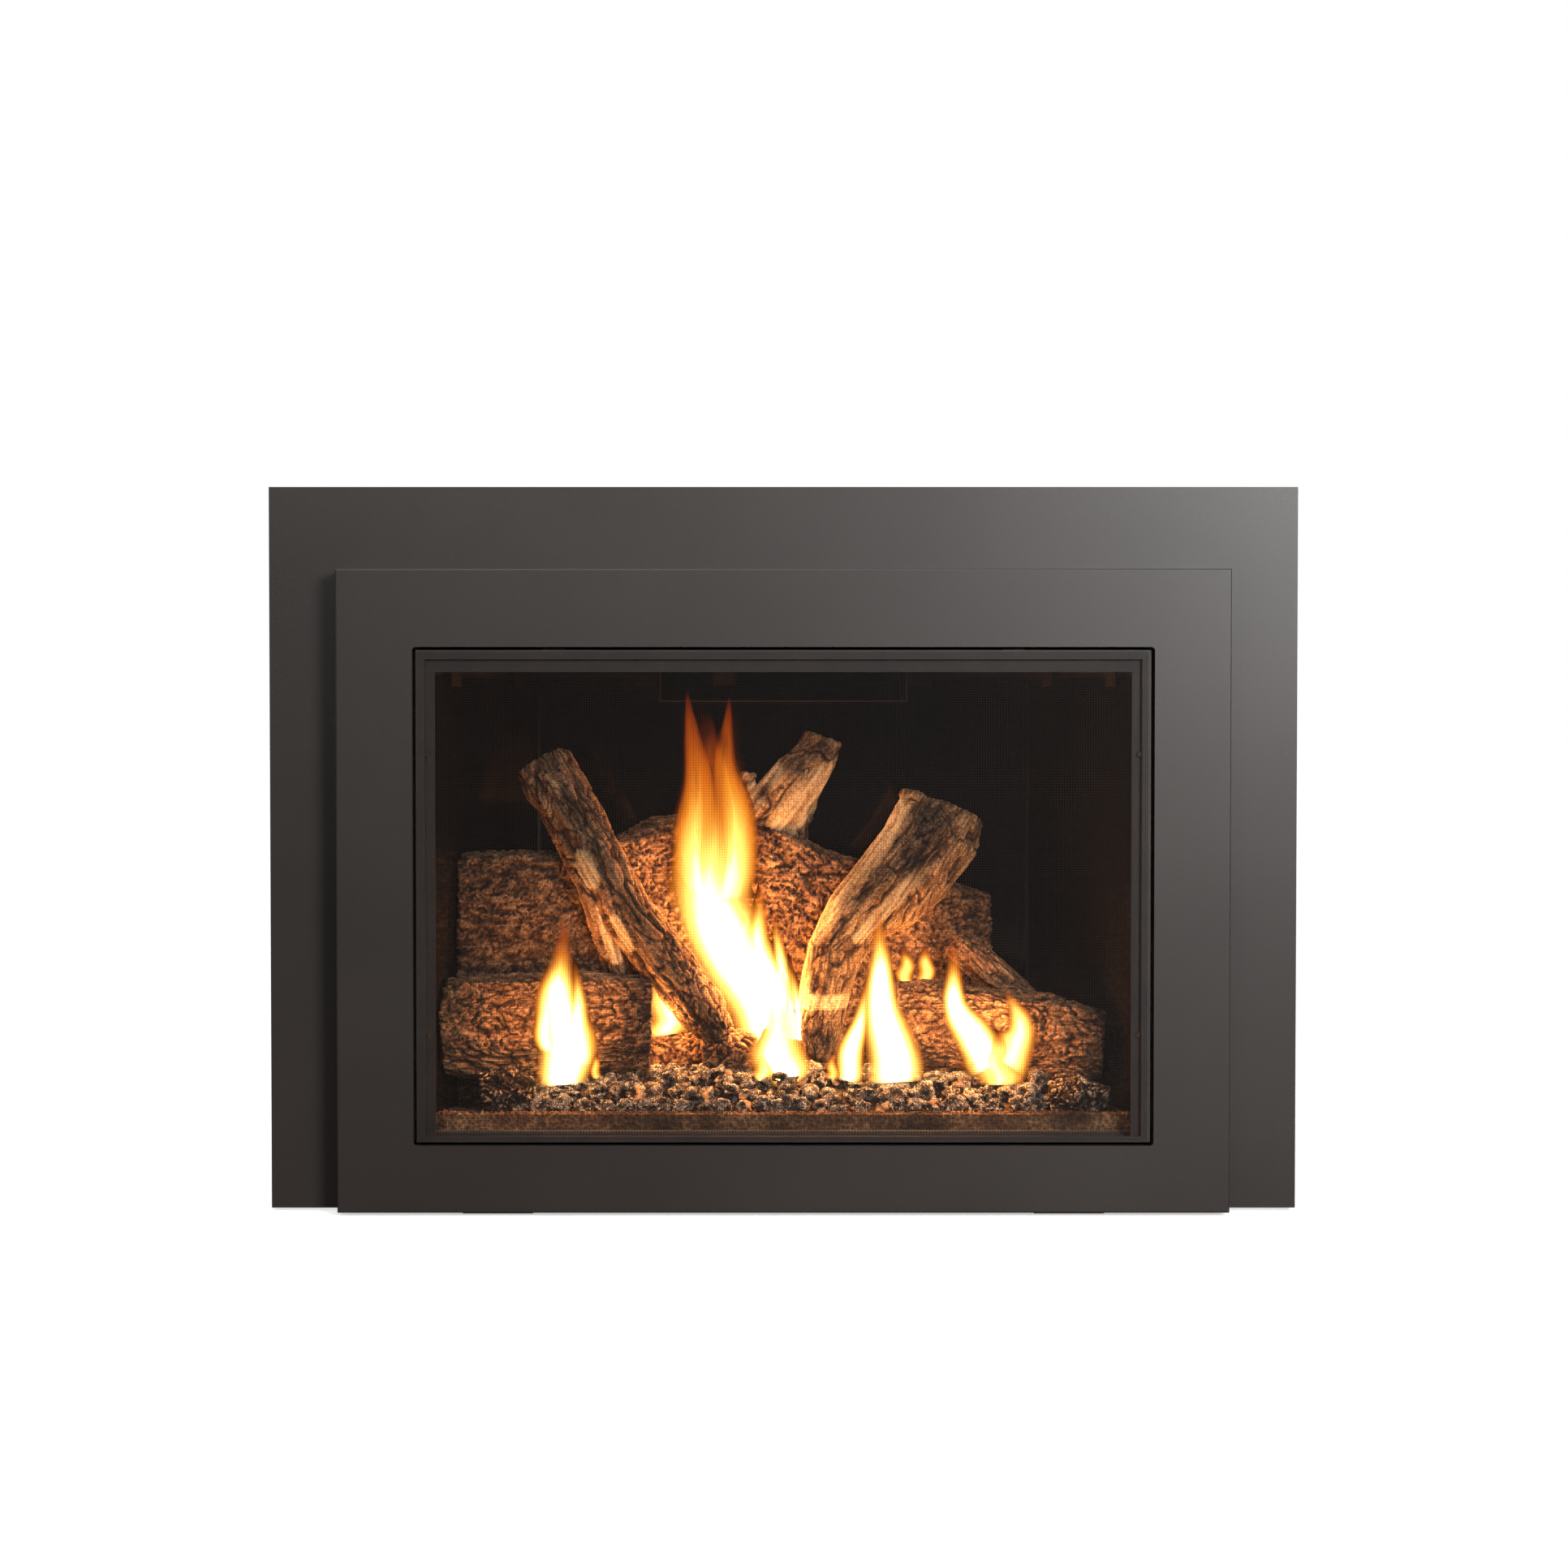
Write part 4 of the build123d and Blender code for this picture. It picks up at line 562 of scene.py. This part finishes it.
# How each log lies (its spine), the width, stretch and depth of its ridges, the strokes where it is bare
# (from X and Z to X and Z, with a radius) and the places that are burnt, or on the rear log's ends only
# darkened (with a radius).
LOGS = {
    "log_rear": dict(
        spine=((-0.34, 0.072, 0.24), (-0.1, 0.125, 0.26), (0.22, 0.193, 0.22)),
        ridge=0.0075, stretch=2.0, depth=0.006, seed=1, plates=0.55, voxel=0.0022,
        burnt=((-0.05, 0.09, 0.14, 0.06), (0.1, 0.14, 0.15, 0.05), (-0.15, 0.09, 0.42, 0.05),
               # The rear log's last two spheres stand off its ends and darken it broadly towards both ends.
               (-0.37, -0.08, 0.24, 0.25), (0.30, 0.05, 0.24, 0.20))),
    "log_front_left": dict(
        spine=((-0.35, 0.035, 0.18), (-0.13, 0.046, 0.18)),
        ridge=0.007, stretch=2.6, depth=0.005, seed=2,
        burnt=((-0.120, 0.02, 0.18, 0.060), (-0.2, 0.01, 0.12, 0.04))),
    "log_cross_left": dict(
        spine=((-0.249, 0.09, 0.455), (-0.16, 0.05, 0.294), (-0.062, 0.05, 0.165)),
        ridge=0.009, stretch=3.4, depth=0.0065, seed=3,
        bare=(((-0.205, 0.352), (-0.196, 0.33), 0.011), ((-0.172, 0.29), (-0.158, 0.262), 0.007)),
        burnt=((-0.070, 0.03, 0.17, 0.045), (-0.09, 0.08, 0.2, 0.05))),
    "log_branch_left": dict(
        spine=((-0.2, 0.05, 0.342), (-0.165, 0.062, 0.214)),
        ridge=0.008, stretch=4.0, depth=0.005, seed=4,
        bare=(((-0.185, 0.30), (-0.172, 0.25), 0.009),),
        burnt=((-0.165, 0.05, 0.21, 0.035),)),
    "log_cross_right": dict(
        spine=((0.166, 0.152, 0.40), (0.104, 0.114, 0.312), (0.054, 0.086, 0.25), (0.035, 0.062, 0.142)),
        ridge=0.009, stretch=3.2, depth=0.0055, seed=5, plates=0.3,
        bare=(((0.112, 0.398), (0.026, 0.282), 0.024), ((0.146, 0.338), (0.078, 0.268), 0.009),
              ((0.022, 0.275), (0.012, 0.20), 0.012), ((0.018, 0.203), (0.064, 0.203), 0.009)),
        burnt=((0.040, 0.04, 0.150, 0.050), (0.156, 0.11, 0.380, 0.040), (0.138, 0.10, 0.350, 0.030))),
    "log_front_right": dict(
        spine=((0.12, 0.06, 0.174), (0.33, 0.047, 0.161)),
        ridge=0.007, stretch=2.4, depth=0.005, seed=6,
        burnt=((0.13, 0.04, 0.14, 0.04), (0.2, 0.01, 0.12, 0.045), (0.40, -0.02, 0.16, 0.14))),
    "log_twig_right": dict(
        spine=((0.178, 0.098, 0.262), (0.258, 0.092, 0.196)),
        ridge=0.008, stretch=3.0, depth=0.004, seed=7),
    "log_top_chunk": dict(
        spine=((-0.03, 0.14, 0.38), (0.042, 0.158, 0.474)),
        ridge=0.012, stretch=3.0, depth=0.006, seed=8, plates=0.25,
        bare=(((0.0, 0.385), (0.042, 0.43), 0.019), ((-0.04, 0.40), (-0.01, 0.44), 0.012)),
        burnt=((0.010, 0.12, 0.448, 0.020), (-0.022, 0.12, 0.42, 0.014), (0.044, 0.14, 0.462, 0.014))),
    "wood_chunks": dict(
        spine=((-0.16, 0.09, 0.14), (0.02, 0.06, 0.14)),
        ridge=0.009, stretch=1.3, depth=0.006, seed=9, plates=0.6,
        burnt=((-0.07, 0.03, 0.14, 0.03),)),
    "charcoal_pieces": dict(
        spine=((-0.31, 0.012, 0.115), (0.33, 0.012, 0.11)),
        ridge=0.009, stretch=1.4, depth=0.005, seed=10, plates=0.7),
}
FINISHES = {"log_cross_right": drift, "log_top_chunk": drift, "charcoal_pieces": charcoal}
for name, recipe in LOGS.items():
    log = carve(name, **recipe)
    log.name = name + "_carved"
    log.data.materials.clear()
    log.data.materials.append(FINISHES.get(name, bark))
    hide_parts(name)
    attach(log, "insert")

# --- Ember lumps -------------------------------------------------------------------------------
# Loose tufts of rock wool, crumpled by hand over the burner's front bank. They glow where flames
# reach them.
ember_low, ember_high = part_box("ember_lumps")
bank_low, bank_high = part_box("ember_bank")
random = np.random.default_rng(11)
ball = bmesh.new()
bmesh.ops.create_icosphere(ball, subdivisions=3, radius=1.0)
ball_points = np.array([v.co for v in ball.verts])
ball_faces = np.array([[v.index for v in f.verts] for f in ball.faces])
ball.free()


def bank_height(x, y):
    """The bank's upper surface at a place, as in its mould, or the board beyond its ends."""
    low, high = board_high.z, bank_high.z
    if not bank_low.x < x < bank_high.x:
        return low
    slope_y = (bank_low.y, bank_low.y + 0.006, 0.040, 0.052)
    return float(np.interp(y, slope_y, (low, low + 0.005, high - 0.003, high)))


# Four rows of tufts up the bank, each with its Y and its tufts' size, and loose ones behind them.
ROWS = ((0.006, 0.0115), (0.019, 0.0130), (0.033, 0.0130), (0.046, 0.0115))
row_pitch, row_start, row_end, tufts_in_row, loose_tufts = 0.0200, -0.262, 0.275, 28, 26
spots = []
for row, (y, size) in enumerate(ROWS):
    for k in range(tufts_in_row):
        x = row_start + row_pitch * (k + 0.5 * (row % 2)) + random.uniform(-0.004, 0.004)
        if x < row_end:
            spots.append((x, y + random.uniform(-0.002, 0.003), size * random.uniform(0.85, 1.2)))
for k in range(loose_tufts):
    spots.append((random.uniform(-0.24, 0.27), random.uniform(0.048, 0.058), random.uniform(0.009, 0.013)))

half_run, spill, glowing_share = 0.29, 0.012, 0.14
lowest = (-half_run, ember_low.y, ember_low.z)
highest = (half_run, ember_high.y + spill, ember_high.z + spill)
tuft_points, tuft_faces, tuft_fold_shade_and_highlight, tuft_glow = [], [], [], []
for index, (x, y, size) in enumerate(spots):
    shape = np.empty(len(ball_points))
    for i, p in enumerate(ball_points):
        q = Vector(p) * 0.9 + Vector((index * 3.7, index * 1.9, 0))
        fold = 1 - abs(noise.noise(q + noise.noise_vector(q * 1.3) * 0.8)) * 3.0
        shape[i] = fold - 0.5 * abs(noise.noise(q * 2.6)) + 0.1
    reach = 0.66 + 0.36 * np.clip(shape, -0.9, 1.1)
    turn = random.uniform(0, math.tau)
    c, s = math.cos(turn), math.sin(turn)
    scale = np.array((1.2, 0.85, 0.8)) * size * random.uniform(0.85, 1.25, 3)
    lump = ball_points * reach[:, None] * scale
    lump = np.stack((c * lump[:, 0] - s * lump[:, 1], s * lump[:, 0] + c * lump[:, 1], lump[:, 2]), axis=1)
    placed = np.clip(lump + np.array((x, y, bank_height(x, y) + size * 0.55)), lowest, highest)
    tuft_faces.append(ball_faces + len(tuft_points) * len(ball_points))
    tuft_points.append(placed)
    # The fold's height is kept for the wool's tone: painted shade low in the folds, painted highlight on
    # their crests.
    tuft_fold_shade_and_highlight.append(np.clip(0.3 + 0.6 * shape, 0, 1))
    lit = 1.0 if random.random() < glowing_share else 0.0
    coals = [noise.noise(Vector(q) * 120) - 0.18 for q in placed]
    tuft_glow.append(lit * np.clip(np.array(coals) * 5, 0, 1))
tufts = bpy.data.meshes.new("ember_tufts")
tufts.from_pydata(np.concatenate(tuft_points).tolist(), [], np.concatenate(tuft_faces).tolist())
shade_smooth(tufts, crest=np.concatenate(tuft_fold_shade_and_highlight), glow=np.concatenate(tuft_glow))

# Rock wool: a matt ash grey, pale on its curled edges and orange where it glows. Painted shade makes it black
# low in its folds, and painted highlight lightens their crests.
wool, tree, shader, place = start("crumpled_rock_wool", 0.95)
shader.inputs["Specular IOR Level"].default_value = 0.2
crest, glow = [add(tree, "ShaderNodeAttribute", {"attribute_name": label}).outputs["Fac"]
               for label in ("crest", "glow")]
curl = add(tree, "ShaderNodeTexNoise", {"Scale": grain(6.67), "Detail": 1.5, "Distortion": 1.6}, {
    "Vector": place})
off = add(tree, "ShaderNodeMath", {"operation": "SUBTRACT", 1: 0.5}, {0: curl.outputs["Fac"]})
off = add(tree, "ShaderNodeMath", {"operation": "ABSOLUTE"}, {0: off.outputs[0]})
edge = add(tree, "ShaderNodeMapRange", {"From Max": 0.05, "To Min": 1.0, "To Max": 0.0}, {
    "Value": off.outputs[0]})
# The tone mixes the pale curled lines with the fold's height, which paints shade into the folds and highlight
# onto their crests.
level = add(tree, "ShaderNodeMath", {"operation": "MULTIPLY_ADD", 1: 0.6}, {
    0: edge.outputs["Result"], 2: crest})
wool_tone_with_painted_shade = add(tree, "ShaderNodeValToRGB", {
    "stops": ((0.15, "#141110"), (0.5, "#3a322d"), (0.8, "#6b5f56"), (1.0, "#d2c2ae"))}, {
    "Fac": level.outputs[0]})
surface(tree, shader, wool_tone_with_painted_shade.outputs["Color"], level.outputs[0], 0.8, 0.0015)
cool = add(tree, "ShaderNodeMapRange", {"From Min": 0.55, "From Max": 0.95, "To Min": 1.8, "To Max": 0.0}, {
    "Value": level.outputs[0]})
fire = add(tree, "ShaderNodeMath", {"operation": "MULTIPLY"}, {0: glow, 1: cool.outputs["Result"]})
shader.inputs["Emission Color"].default_value = linear("#ff9348")
tree.links.new(fire.outputs[0], shader.inputs["Emission Strength"])
embers = plain_object("ember_tufts", tufts)
tufts.materials.append(wool)
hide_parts("ember_lumps")
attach(embers, "insert")

# --- Flames ------------------------------------------------------------------------------------
# Yellow gas flames from the burner's two rows of ports, as the lit fire shows them. Each is a few
# thin tongues of light that taper and fade, and none of them is a solid piece.

# For each flame: how far back it stands, its half depth, a power that says how low it cools (a
# larger one keeps it pale nearer its tip), and its tongues. A tongue is a line of X and Z from foot
# to tip, with its width at each of those points.
FLAMES = {
    "flame_centre": (0.080, 0.022, 1.6, (
        (((-0.004, 0.128), (-0.022, 0.194), (-0.056, 0.250), (-0.070, 0.310), (-0.068, 0.370),
          (-0.076, 0.430), (-0.080, 0.500)),
         (0.060, 0.068, 0.068, 0.074, 0.064, 0.046, 0.006)),
        (((-0.078, 0.300), (-0.090, 0.380), (-0.090, 0.450), (-0.100, 0.524)), (0.050, 0.040, 0.022, 0.002)),
        (((-0.056, 0.310), (-0.052, 0.400), (-0.060, 0.460), (-0.056, 0.518)), (0.046, 0.034, 0.018, 0.002)),
        (((-0.004, 0.150), (-0.016, 0.220), (-0.026, 0.270), (-0.024, 0.330)), (0.044, 0.040, 0.022, 0.002)),
        (((0.008, 0.130), (0.004, 0.190), (-0.004, 0.240), (-0.011, 0.300)), (0.046, 0.036, 0.016, 0.002)),
        (((0.018, 0.130), (0.015, 0.180), (0.006, 0.252)), (0.026, 0.020, 0.002)))),
    "flame_centre_front": (0.032, 0.008, 3.0, (
        (((0.002, 0.120), (0.000, 0.140), (-0.006, 0.175), (-0.016, 0.230)), (0.022, 0.050, 0.044, 0.003)),
        (((-0.022, 0.124), (-0.020, 0.140), (-0.018, 0.178)), (0.012, 0.022, 0.003)))),
    "flame_left": (-0.0035, 0.006, 3.0, (
        (((-0.219, 0.126), (-0.222, 0.160), (-0.225, 0.200), (-0.224, 0.245), (-0.222, 0.296)),
         (0.044, 0.052, 0.044, 0.024, 0.002)),
        (((-0.236, 0.160), (-0.241, 0.195), (-0.237, 0.246)), (0.020, 0.020, 0.002)),
        (((-0.206, 0.146), (-0.206, 0.190), (-0.211, 0.252)), (0.022, 0.022, 0.002)),
        (((-0.189, 0.132), (-0.190, 0.145), (-0.189, 0.157)), (0.008, 0.008, 0.002)))),
    "flame_between": (0.080, 0.012, 3.0, (
        (((-0.262, 0.190), (-0.256, 0.210), (-0.246, 0.238)), (0.022, 0.016, 0.002)),
        (((-0.172, 0.226), (-0.173, 0.246), (-0.175, 0.268)), (0.012, 0.013, 0.002)),
        (((-0.118, 0.168), (-0.122, 0.195), (-0.139, 0.242)), (0.046, 0.034, 0.003)))),
    "flame_right": (0.014, 0.008, 3.0, (
        (((0.110, 0.126), (0.108, 0.160), (0.103, 0.200), (0.099, 0.240), (0.096, 0.280), (0.095, 0.318)),
         (0.052, 0.046, 0.034, 0.023, 0.012, 0.002)),
        (((0.064, 0.128), (0.070, 0.155), (0.078, 0.192), (0.088, 0.238)), (0.024, 0.024, 0.014, 0.002)),
        (((0.049, 0.130), (0.050, 0.141), (0.047, 0.155)), (0.012, 0.011, 0.002)))),
    "flame_twins": (0.100, 0.010, 3.0, (
        (((0.126, 0.220), (0.128, 0.236), (0.125, 0.259)), (0.015, 0.015, 0.002)),
        (((0.148, 0.220), (0.149, 0.238), (0.147, 0.260)), (0.015, 0.015, 0.002)))),
    "flame_far_right": (0.010, 0.007, 3.0, (
        (((0.208, 0.142), (0.188, 0.176), (0.176, 0.205), (0.172, 0.240), (0.170, 0.278)),
         (0.040, 0.034, 0.023, 0.014, 0.002)),
        (((0.224, 0.146), (0.241, 0.172), (0.236, 0.195), (0.225, 0.222)), (0.044, 0.032, 0.018, 0.002)),
        (((0.216, 0.124), (0.216, 0.142), (0.215, 0.160), (0.214, 0.180)), (0.040, 0.052, 0.046, 0.010)))),
}
# Every tongue is drawn twice, each time with a share of its width and a strength: a bright core in
# a wider and nearly clear veil.
HULLS = ((1.2, 1.0), (1.45, 0.18))


def smooth_run(values, t):
    """A value along an even run of control values, rounded at each of them."""
    values = np.asarray(values, float)
    padded = np.concatenate((2 * values[:1] - values[1:2], values, 2 * values[-1:] - values[-2:-1]))
    place = t * (len(values) - 1)
    k = min(int(place), len(values) - 2)
    u = place - k
    a, b, c, d = padded[k:k + 4]
    bend, twist = 2 * a - 5 * b + 4 * c - d, 3 * b - a - 3 * c + d
    return 0.5 * (2 * b + (c - a) * u + bend * u * u + twist * u ** 3)


# Burning gas: white-yellow at the heart, deep orange at the tips, with clear, soft edges and licks
# about 12 mm wide and 80 mm tall.
burning, tree, shader, place = start("burning_gas", 1.0)
shader.inputs["Base Color"].default_value = (0, 0, 0, 1)
shader.inputs["Specular IOR Level"].default_value = 0.0
heat, veil = [add(tree, "ShaderNodeAttribute", {"attribute_name": label}).outputs["Fac"]
              for label in ("fierce", "veil")]
upright = add(tree, "ShaderNodeMapping", {"Scale": (grain(11.8), grain(11.8), grain(83.3))}, {
    "Vector": place}).outputs["Vector"]
licks = add(tree, "ShaderNodeTexNoise", {"Scale": 1.0, "Detail": 2.0}, {"Vector": upright})
wisp = add(tree, "ShaderNodeMapRange", {"From Min": 0.35, "From Max": 0.65, "To Max": 1.25}, {
    "Value": licks.outputs["Fac"], "To Min": heat})
glowing = add(tree, "ShaderNodeValToRGB", {
    "stops": ((0.0, "#c2440a"), (0.2, "#f2700f"), (0.45, "#ff9628"), (0.7, "#ffc55c"), (1.0, "#fff0cc"))}, {
    "Fac": heat})
tree.links.new(glowing.outputs["Color"], shader.inputs["Emission Color"])
fiercer = add(tree, "ShaderNodeMath", {"operation": "POWER", 1: 3.6}, {0: heat})
power = add(tree, "ShaderNodeMapRange", {"To Min": 1.0, "To Max": 15.0}, {"Value": fiercer.outputs[0]})
tree.links.new(power.outputs["Result"], shader.inputs["Emission Strength"])
clear = add(tree, "ShaderNodeMath", {"operation": "MULTIPLY", "use_clamp": True}, {
    0: veil, 1: wisp.outputs["Result"]})
tree.links.new(clear.outputs[0], shader.inputs["Alpha"])

around, levels, thinnest = 16, 40, 0.0015
for name, (depth_at, half_depth, cooling, tongues) in FLAMES.items():
    points, faces, heats, veils = [], [], [], []
    foot_z = min(spine[0][1] for spine, widths in tongues)
    tip_z = max(spine[-1][1] for spine, widths in tongues)
    for (spine, widths), (wider, strength) in [(tongue, hull) for tongue in tongues for hull in HULLS]:
        first = len(points)
        spine = np.array(spine)
        tall = spine[-1][1] - spine[0][1]
        for k in range(levels + 1):
            t = k / levels
            centre = smooth_run(spine, t)
            ahead = smooth_run(spine, min(1, t + 0.02)) - smooth_run(spine, max(0, t - 0.02))
            ahead /= np.linalg.norm(ahead)
            width = wider * max(thinnest, float(smooth_run(widths, t)))
            flicker = 0.08 * width * math.sin(9 * t + 120 * spine[0][0])
            thick = half_depth * math.sqrt(width / (wider * max(widths)))
            # It cools as it rises and towards its own tip, and it fades in at the foot and out at
            # the tip.
            high = min(1.0, (centre[1] - foot_z) / (tip_z - foot_z))
            warmth = min(1, 1.25 * (1 - high ** cooling)) * (1 - t ** 5) * (0.3 + 0.7 * strength)
            warmth *= min(1.0, 0.6 + tall * 3)
            shown = strength * min(1, 1.7 * (1 - t) ** 0.9) * min(1, 0.2 + 9 * t)
            for j in range(around):
                a = math.tau * j / around
                sideways = width / 2 * math.cos(a) + flicker
                x = centre[0] + sideways * ahead[1]
                z = centre[1] - sideways * ahead[0]
                points.append((x, depth_at + thick * math.sin(a), z))
                inward = 1 - abs(math.cos(a)) ** 1.6
                heats.append(warmth * (0.4 + 0.6 * inward))
                veils.append(shown * min(1, 1.4 * inward))
        for k in range(levels):
            for j in range(around):
                a, b = first + k * around + j, first + k * around + (j + 1) % around
                faces.append((a, b, b + around, a + around))
        faces.append(tuple(range(first + around - 1, first - 1, -1)))
        faces.append(tuple(range(first + levels * around, first + (levels + 1) * around)))
    light = bpy.data.meshes.new(name)
    light.from_pydata(points, [], faces)
    shade_smooth(light, fierce=heats, veil=veils)
    light.materials.append(burning)
    flame = plain_object(name, light)
    flame.visible_shadow = False
    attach(flame, "insert")

# --- Pilot, valve, tubes and controls ----------------------------------------------------------
# The gas train, the controls and the blower sit under the firebox, behind the overlay's lower edge:
# a cast valve, brass fittings and bent tube, moulded knobs, and housings of folded sheet.

# Glazed porcelain insulators with bare steel tips: cream, with a faint speckle under the glaze.
porcelain = even_finish("glazed_porcelain", 0.18, 0.0, 2.5, 2.0, ("#cfc8b8", "#e6e1d4"))
dress(porcelain, "pilot_electrodes")

# Die-cast aluminium: silver grey with a fine pebbled skin.
cast = even_finish("die_cast_aluminium", 0.45, 1.0, 2.0, 4.0, ("#8d8f91", "#a7a9ab"), 0.25, 0.0002)
dress(cast, "gas_valve")

# Machined brass: yellow and satin, with turning marks that are drawn at 1 mm so that they show.
brass = even_finish("machined_brass", 0.3, 1.0, 1.11, 2.0, ("#a5803e", "#c9a35a"), 0.12)
dress(brass, "shutoff_cock", "orifice_fitting")

# Soft aluminium tube: bright, with a faint bloom.
tube = even_finish("soft_aluminium_tube", 0.3, 1.0, 8.33, 4.0, ("#a3a5a8", "#c2c4c6"))
dress(tube, "gas_supply_tube", "burner_feed_tube")

# Moulded nylon: black, with a spark-eroded texture that is drawn at 0.8 mm so that it shows.
nylon = even_finish("black_moulded_nylon", 0.5, 0.0, 0.769, 2.0, ("#131313", "#1e1e1f"), 0.3)
dress(nylon, "flame_height_knob", "shutoff_lever", "control_module", "rocker_bezel", "rocker_switch",
      "power_inlet", "fan_speed_knob")
dress(galvanised, "switch_box", "blower_rotor", "blower_housing", "blower_motor")

# --- Studio ------------------------------------------------------------------------------------
# A pale floor, a white surround that only the eye, glass and metal see, and soft lamps.
reach, drop = 30.0, 0.0006
corners = ((-reach, -reach), (reach, -reach), (reach, reach), (-reach, reach))
ground = bpy.data.meshes.new("studio_floor")
ground.from_pydata([(x, y, -drop) for x, y in corners], [], [(0, 1, 2, 3)])
floor = plain_object("studio_floor", ground)

# Pale paper. To the eye it is white, and evenly so out to the horizon. In front of the face, where
# it could throw light up or be mirrored, it is dark to all but the eye.
paper, tree, shader, place = start("pale_paper", 0.9)
shader.inputs["Emission Color"].default_value = (1, 1, 1, 1)
path = add(tree, "ShaderNodeLightPath")
ahead = add(tree, "ShaderNodeSeparateXYZ", {}, {"Vector": place})
rearward = add(tree, "ShaderNodeMapRange", {"From Max": 0.4}, {"Value": ahead.outputs["Y"]})
bright = add(tree, "ShaderNodeMath", {"operation": "MAXIMUM"}, {
    0: path.outputs["Is Camera Ray"], 1: rearward.outputs[0]})
pale = add(tree, "ShaderNodeMix", {"data_type": "RGBA", 6: linear("#3a3633"), 7: linear("#ededeb")}, {
    0: bright.outputs[0]})
surface(tree, shader, pale.outputs[2])
away = add(tree, "ShaderNodeVectorMath", {"operation": "LENGTH"}, {0: place})
evened = add(tree, "ShaderNodeMapRange", {"From Min": 1.5, "From Max": 6.0, "To Min": 0.58, "To Max": 0.74}, {
    "Value": away.outputs["Value"]})
lift = add(tree, "ShaderNodeMath", {"operation": "MULTIPLY"}, {
    0: path.outputs["Is Camera Ray"], 1: evened.outputs[0]})
tree.links.new(lift.outputs[0], shader.inputs["Emission Strength"])
ground.materials.append(paper)

# The surround is white to the eye, white behind and dark in front to glass and metal, and a soft
# grey light to the rest.
world = bpy.data.worlds.new("studio")
bpy.context.scene.world = world
world.use_nodes = True
tree = world.node_tree
background = tree.nodes["Background"]
path = add(tree, "ShaderNodeLightPath")
way = add(tree, "ShaderNodeTexCoord").outputs["Generated"]
split = add(tree, "ShaderNodeSeparateXYZ", {}, {"Vector": way})
behind = add(tree, "ShaderNodeMapRange", {"From Min": -0.6, "From Max": 0.4, "To Min": 0.03, "To Max": 1.0}, {
    "Value": split.outputs["Y"]})
seen = add(tree, "ShaderNodeMath", {"operation": "MAXIMUM"}, {
    0: path.outputs["Is Glossy Ray"], 1: path.outputs["Is Transmission Ray"]})
soft = add(tree, "ShaderNodeMix", {"data_type": "FLOAT", 2: 0.35}, {
    0: seen.outputs[0], 3: behind.outputs["Result"]})
shown = add(tree, "ShaderNodeMix", {"data_type": "FLOAT", 3: 1.0}, {
    0: path.outputs["Is Camera Ray"], 2: soft.outputs[0]})
background.inputs["Color"].default_value = (1, 1, 1, 1)
tree.links.new(shown.outputs[0], background.inputs["Strength"])

# Each lamp's place, aim, diameter and watts.
LAMPS = {
    "key": ((1.5, -2.7, 1.42), (0, 0, 0.45), 1.2, 132.0),
    "fill": ((-0.9, -2.7, 1.9), (0, 0, 0.45), 1.2, 20.0),
    "top": ((0.0, -0.6, 3.0), (0, 0.1, 0.3), 2.0, 28.0),
}
for name, (spot, target, size, watts) in LAMPS.items():
    lamp = bpy.data.lights.new(name, "AREA")
    lamp.shape = "DISK"
    lamp.size = size
    lamp.energy = watts
    holder = plain_object(name, lamp)
    holder.location = spot
    holder.rotation_euler = (Vector(target) - Vector(spot)).to_track_quat("-Z", "Y").to_euler()

# The fire's own light on the logs, from small warm lamps inside the flames that the eye and mirrors
# don't see: each one's X, Y, Z and watts.
FIRELIGHT = (
    (-0.224, -0.012, 0.20, 2.7), (-0.015, 0.055, 0.20, 4.0), (-0.060, 0.060, 0.30, 3.7),
    (0.105, 0.000, 0.19, 1.6), (0.210, -0.005, 0.18, 1.8), (-0.118, 0.040, 0.195, 2.4),
    (0.136, 0.090, 0.245, 0.7), (-0.075, 0.07, 0.40, 0.6))
for number, (x, y, z, watts) in enumerate(FIRELIGHT):
    lamp = bpy.data.lights.new("firelight_%d" % number, "POINT")
    lamp.color = (1.0, 0.44, 0.13)
    lamp.shadow_soft_size = 0.025
    lamp.energy = watts
    holder = plain_object(lamp.name, lamp)
    holder.location = (x, y, z)
    holder.visible_camera = False
    holder.visible_glossy = False

# --- Camera ------------------------------------------------------------------------------------
# It stands 3 m in front of the overlay on the middle line and looks down by one and a half degrees.
film_width, picture_width, focal_pixels, tilt = 36.0, 1932, 3725.9, 1.53
lens = bpy.data.cameras.new("camera")
lens.sensor_width = film_width
lens.lens = focal_pixels / picture_width * film_width
camera = plain_object("camera", lens)
camera.location = (0.0006, -3.051, 0.5107)
camera.rotation_euler = (math.radians(90 - tilt), 0.0, 0.0)
bpy.context.scene.camera = camera
bpy.context.scene.view_settings.view_transform = "Standard"
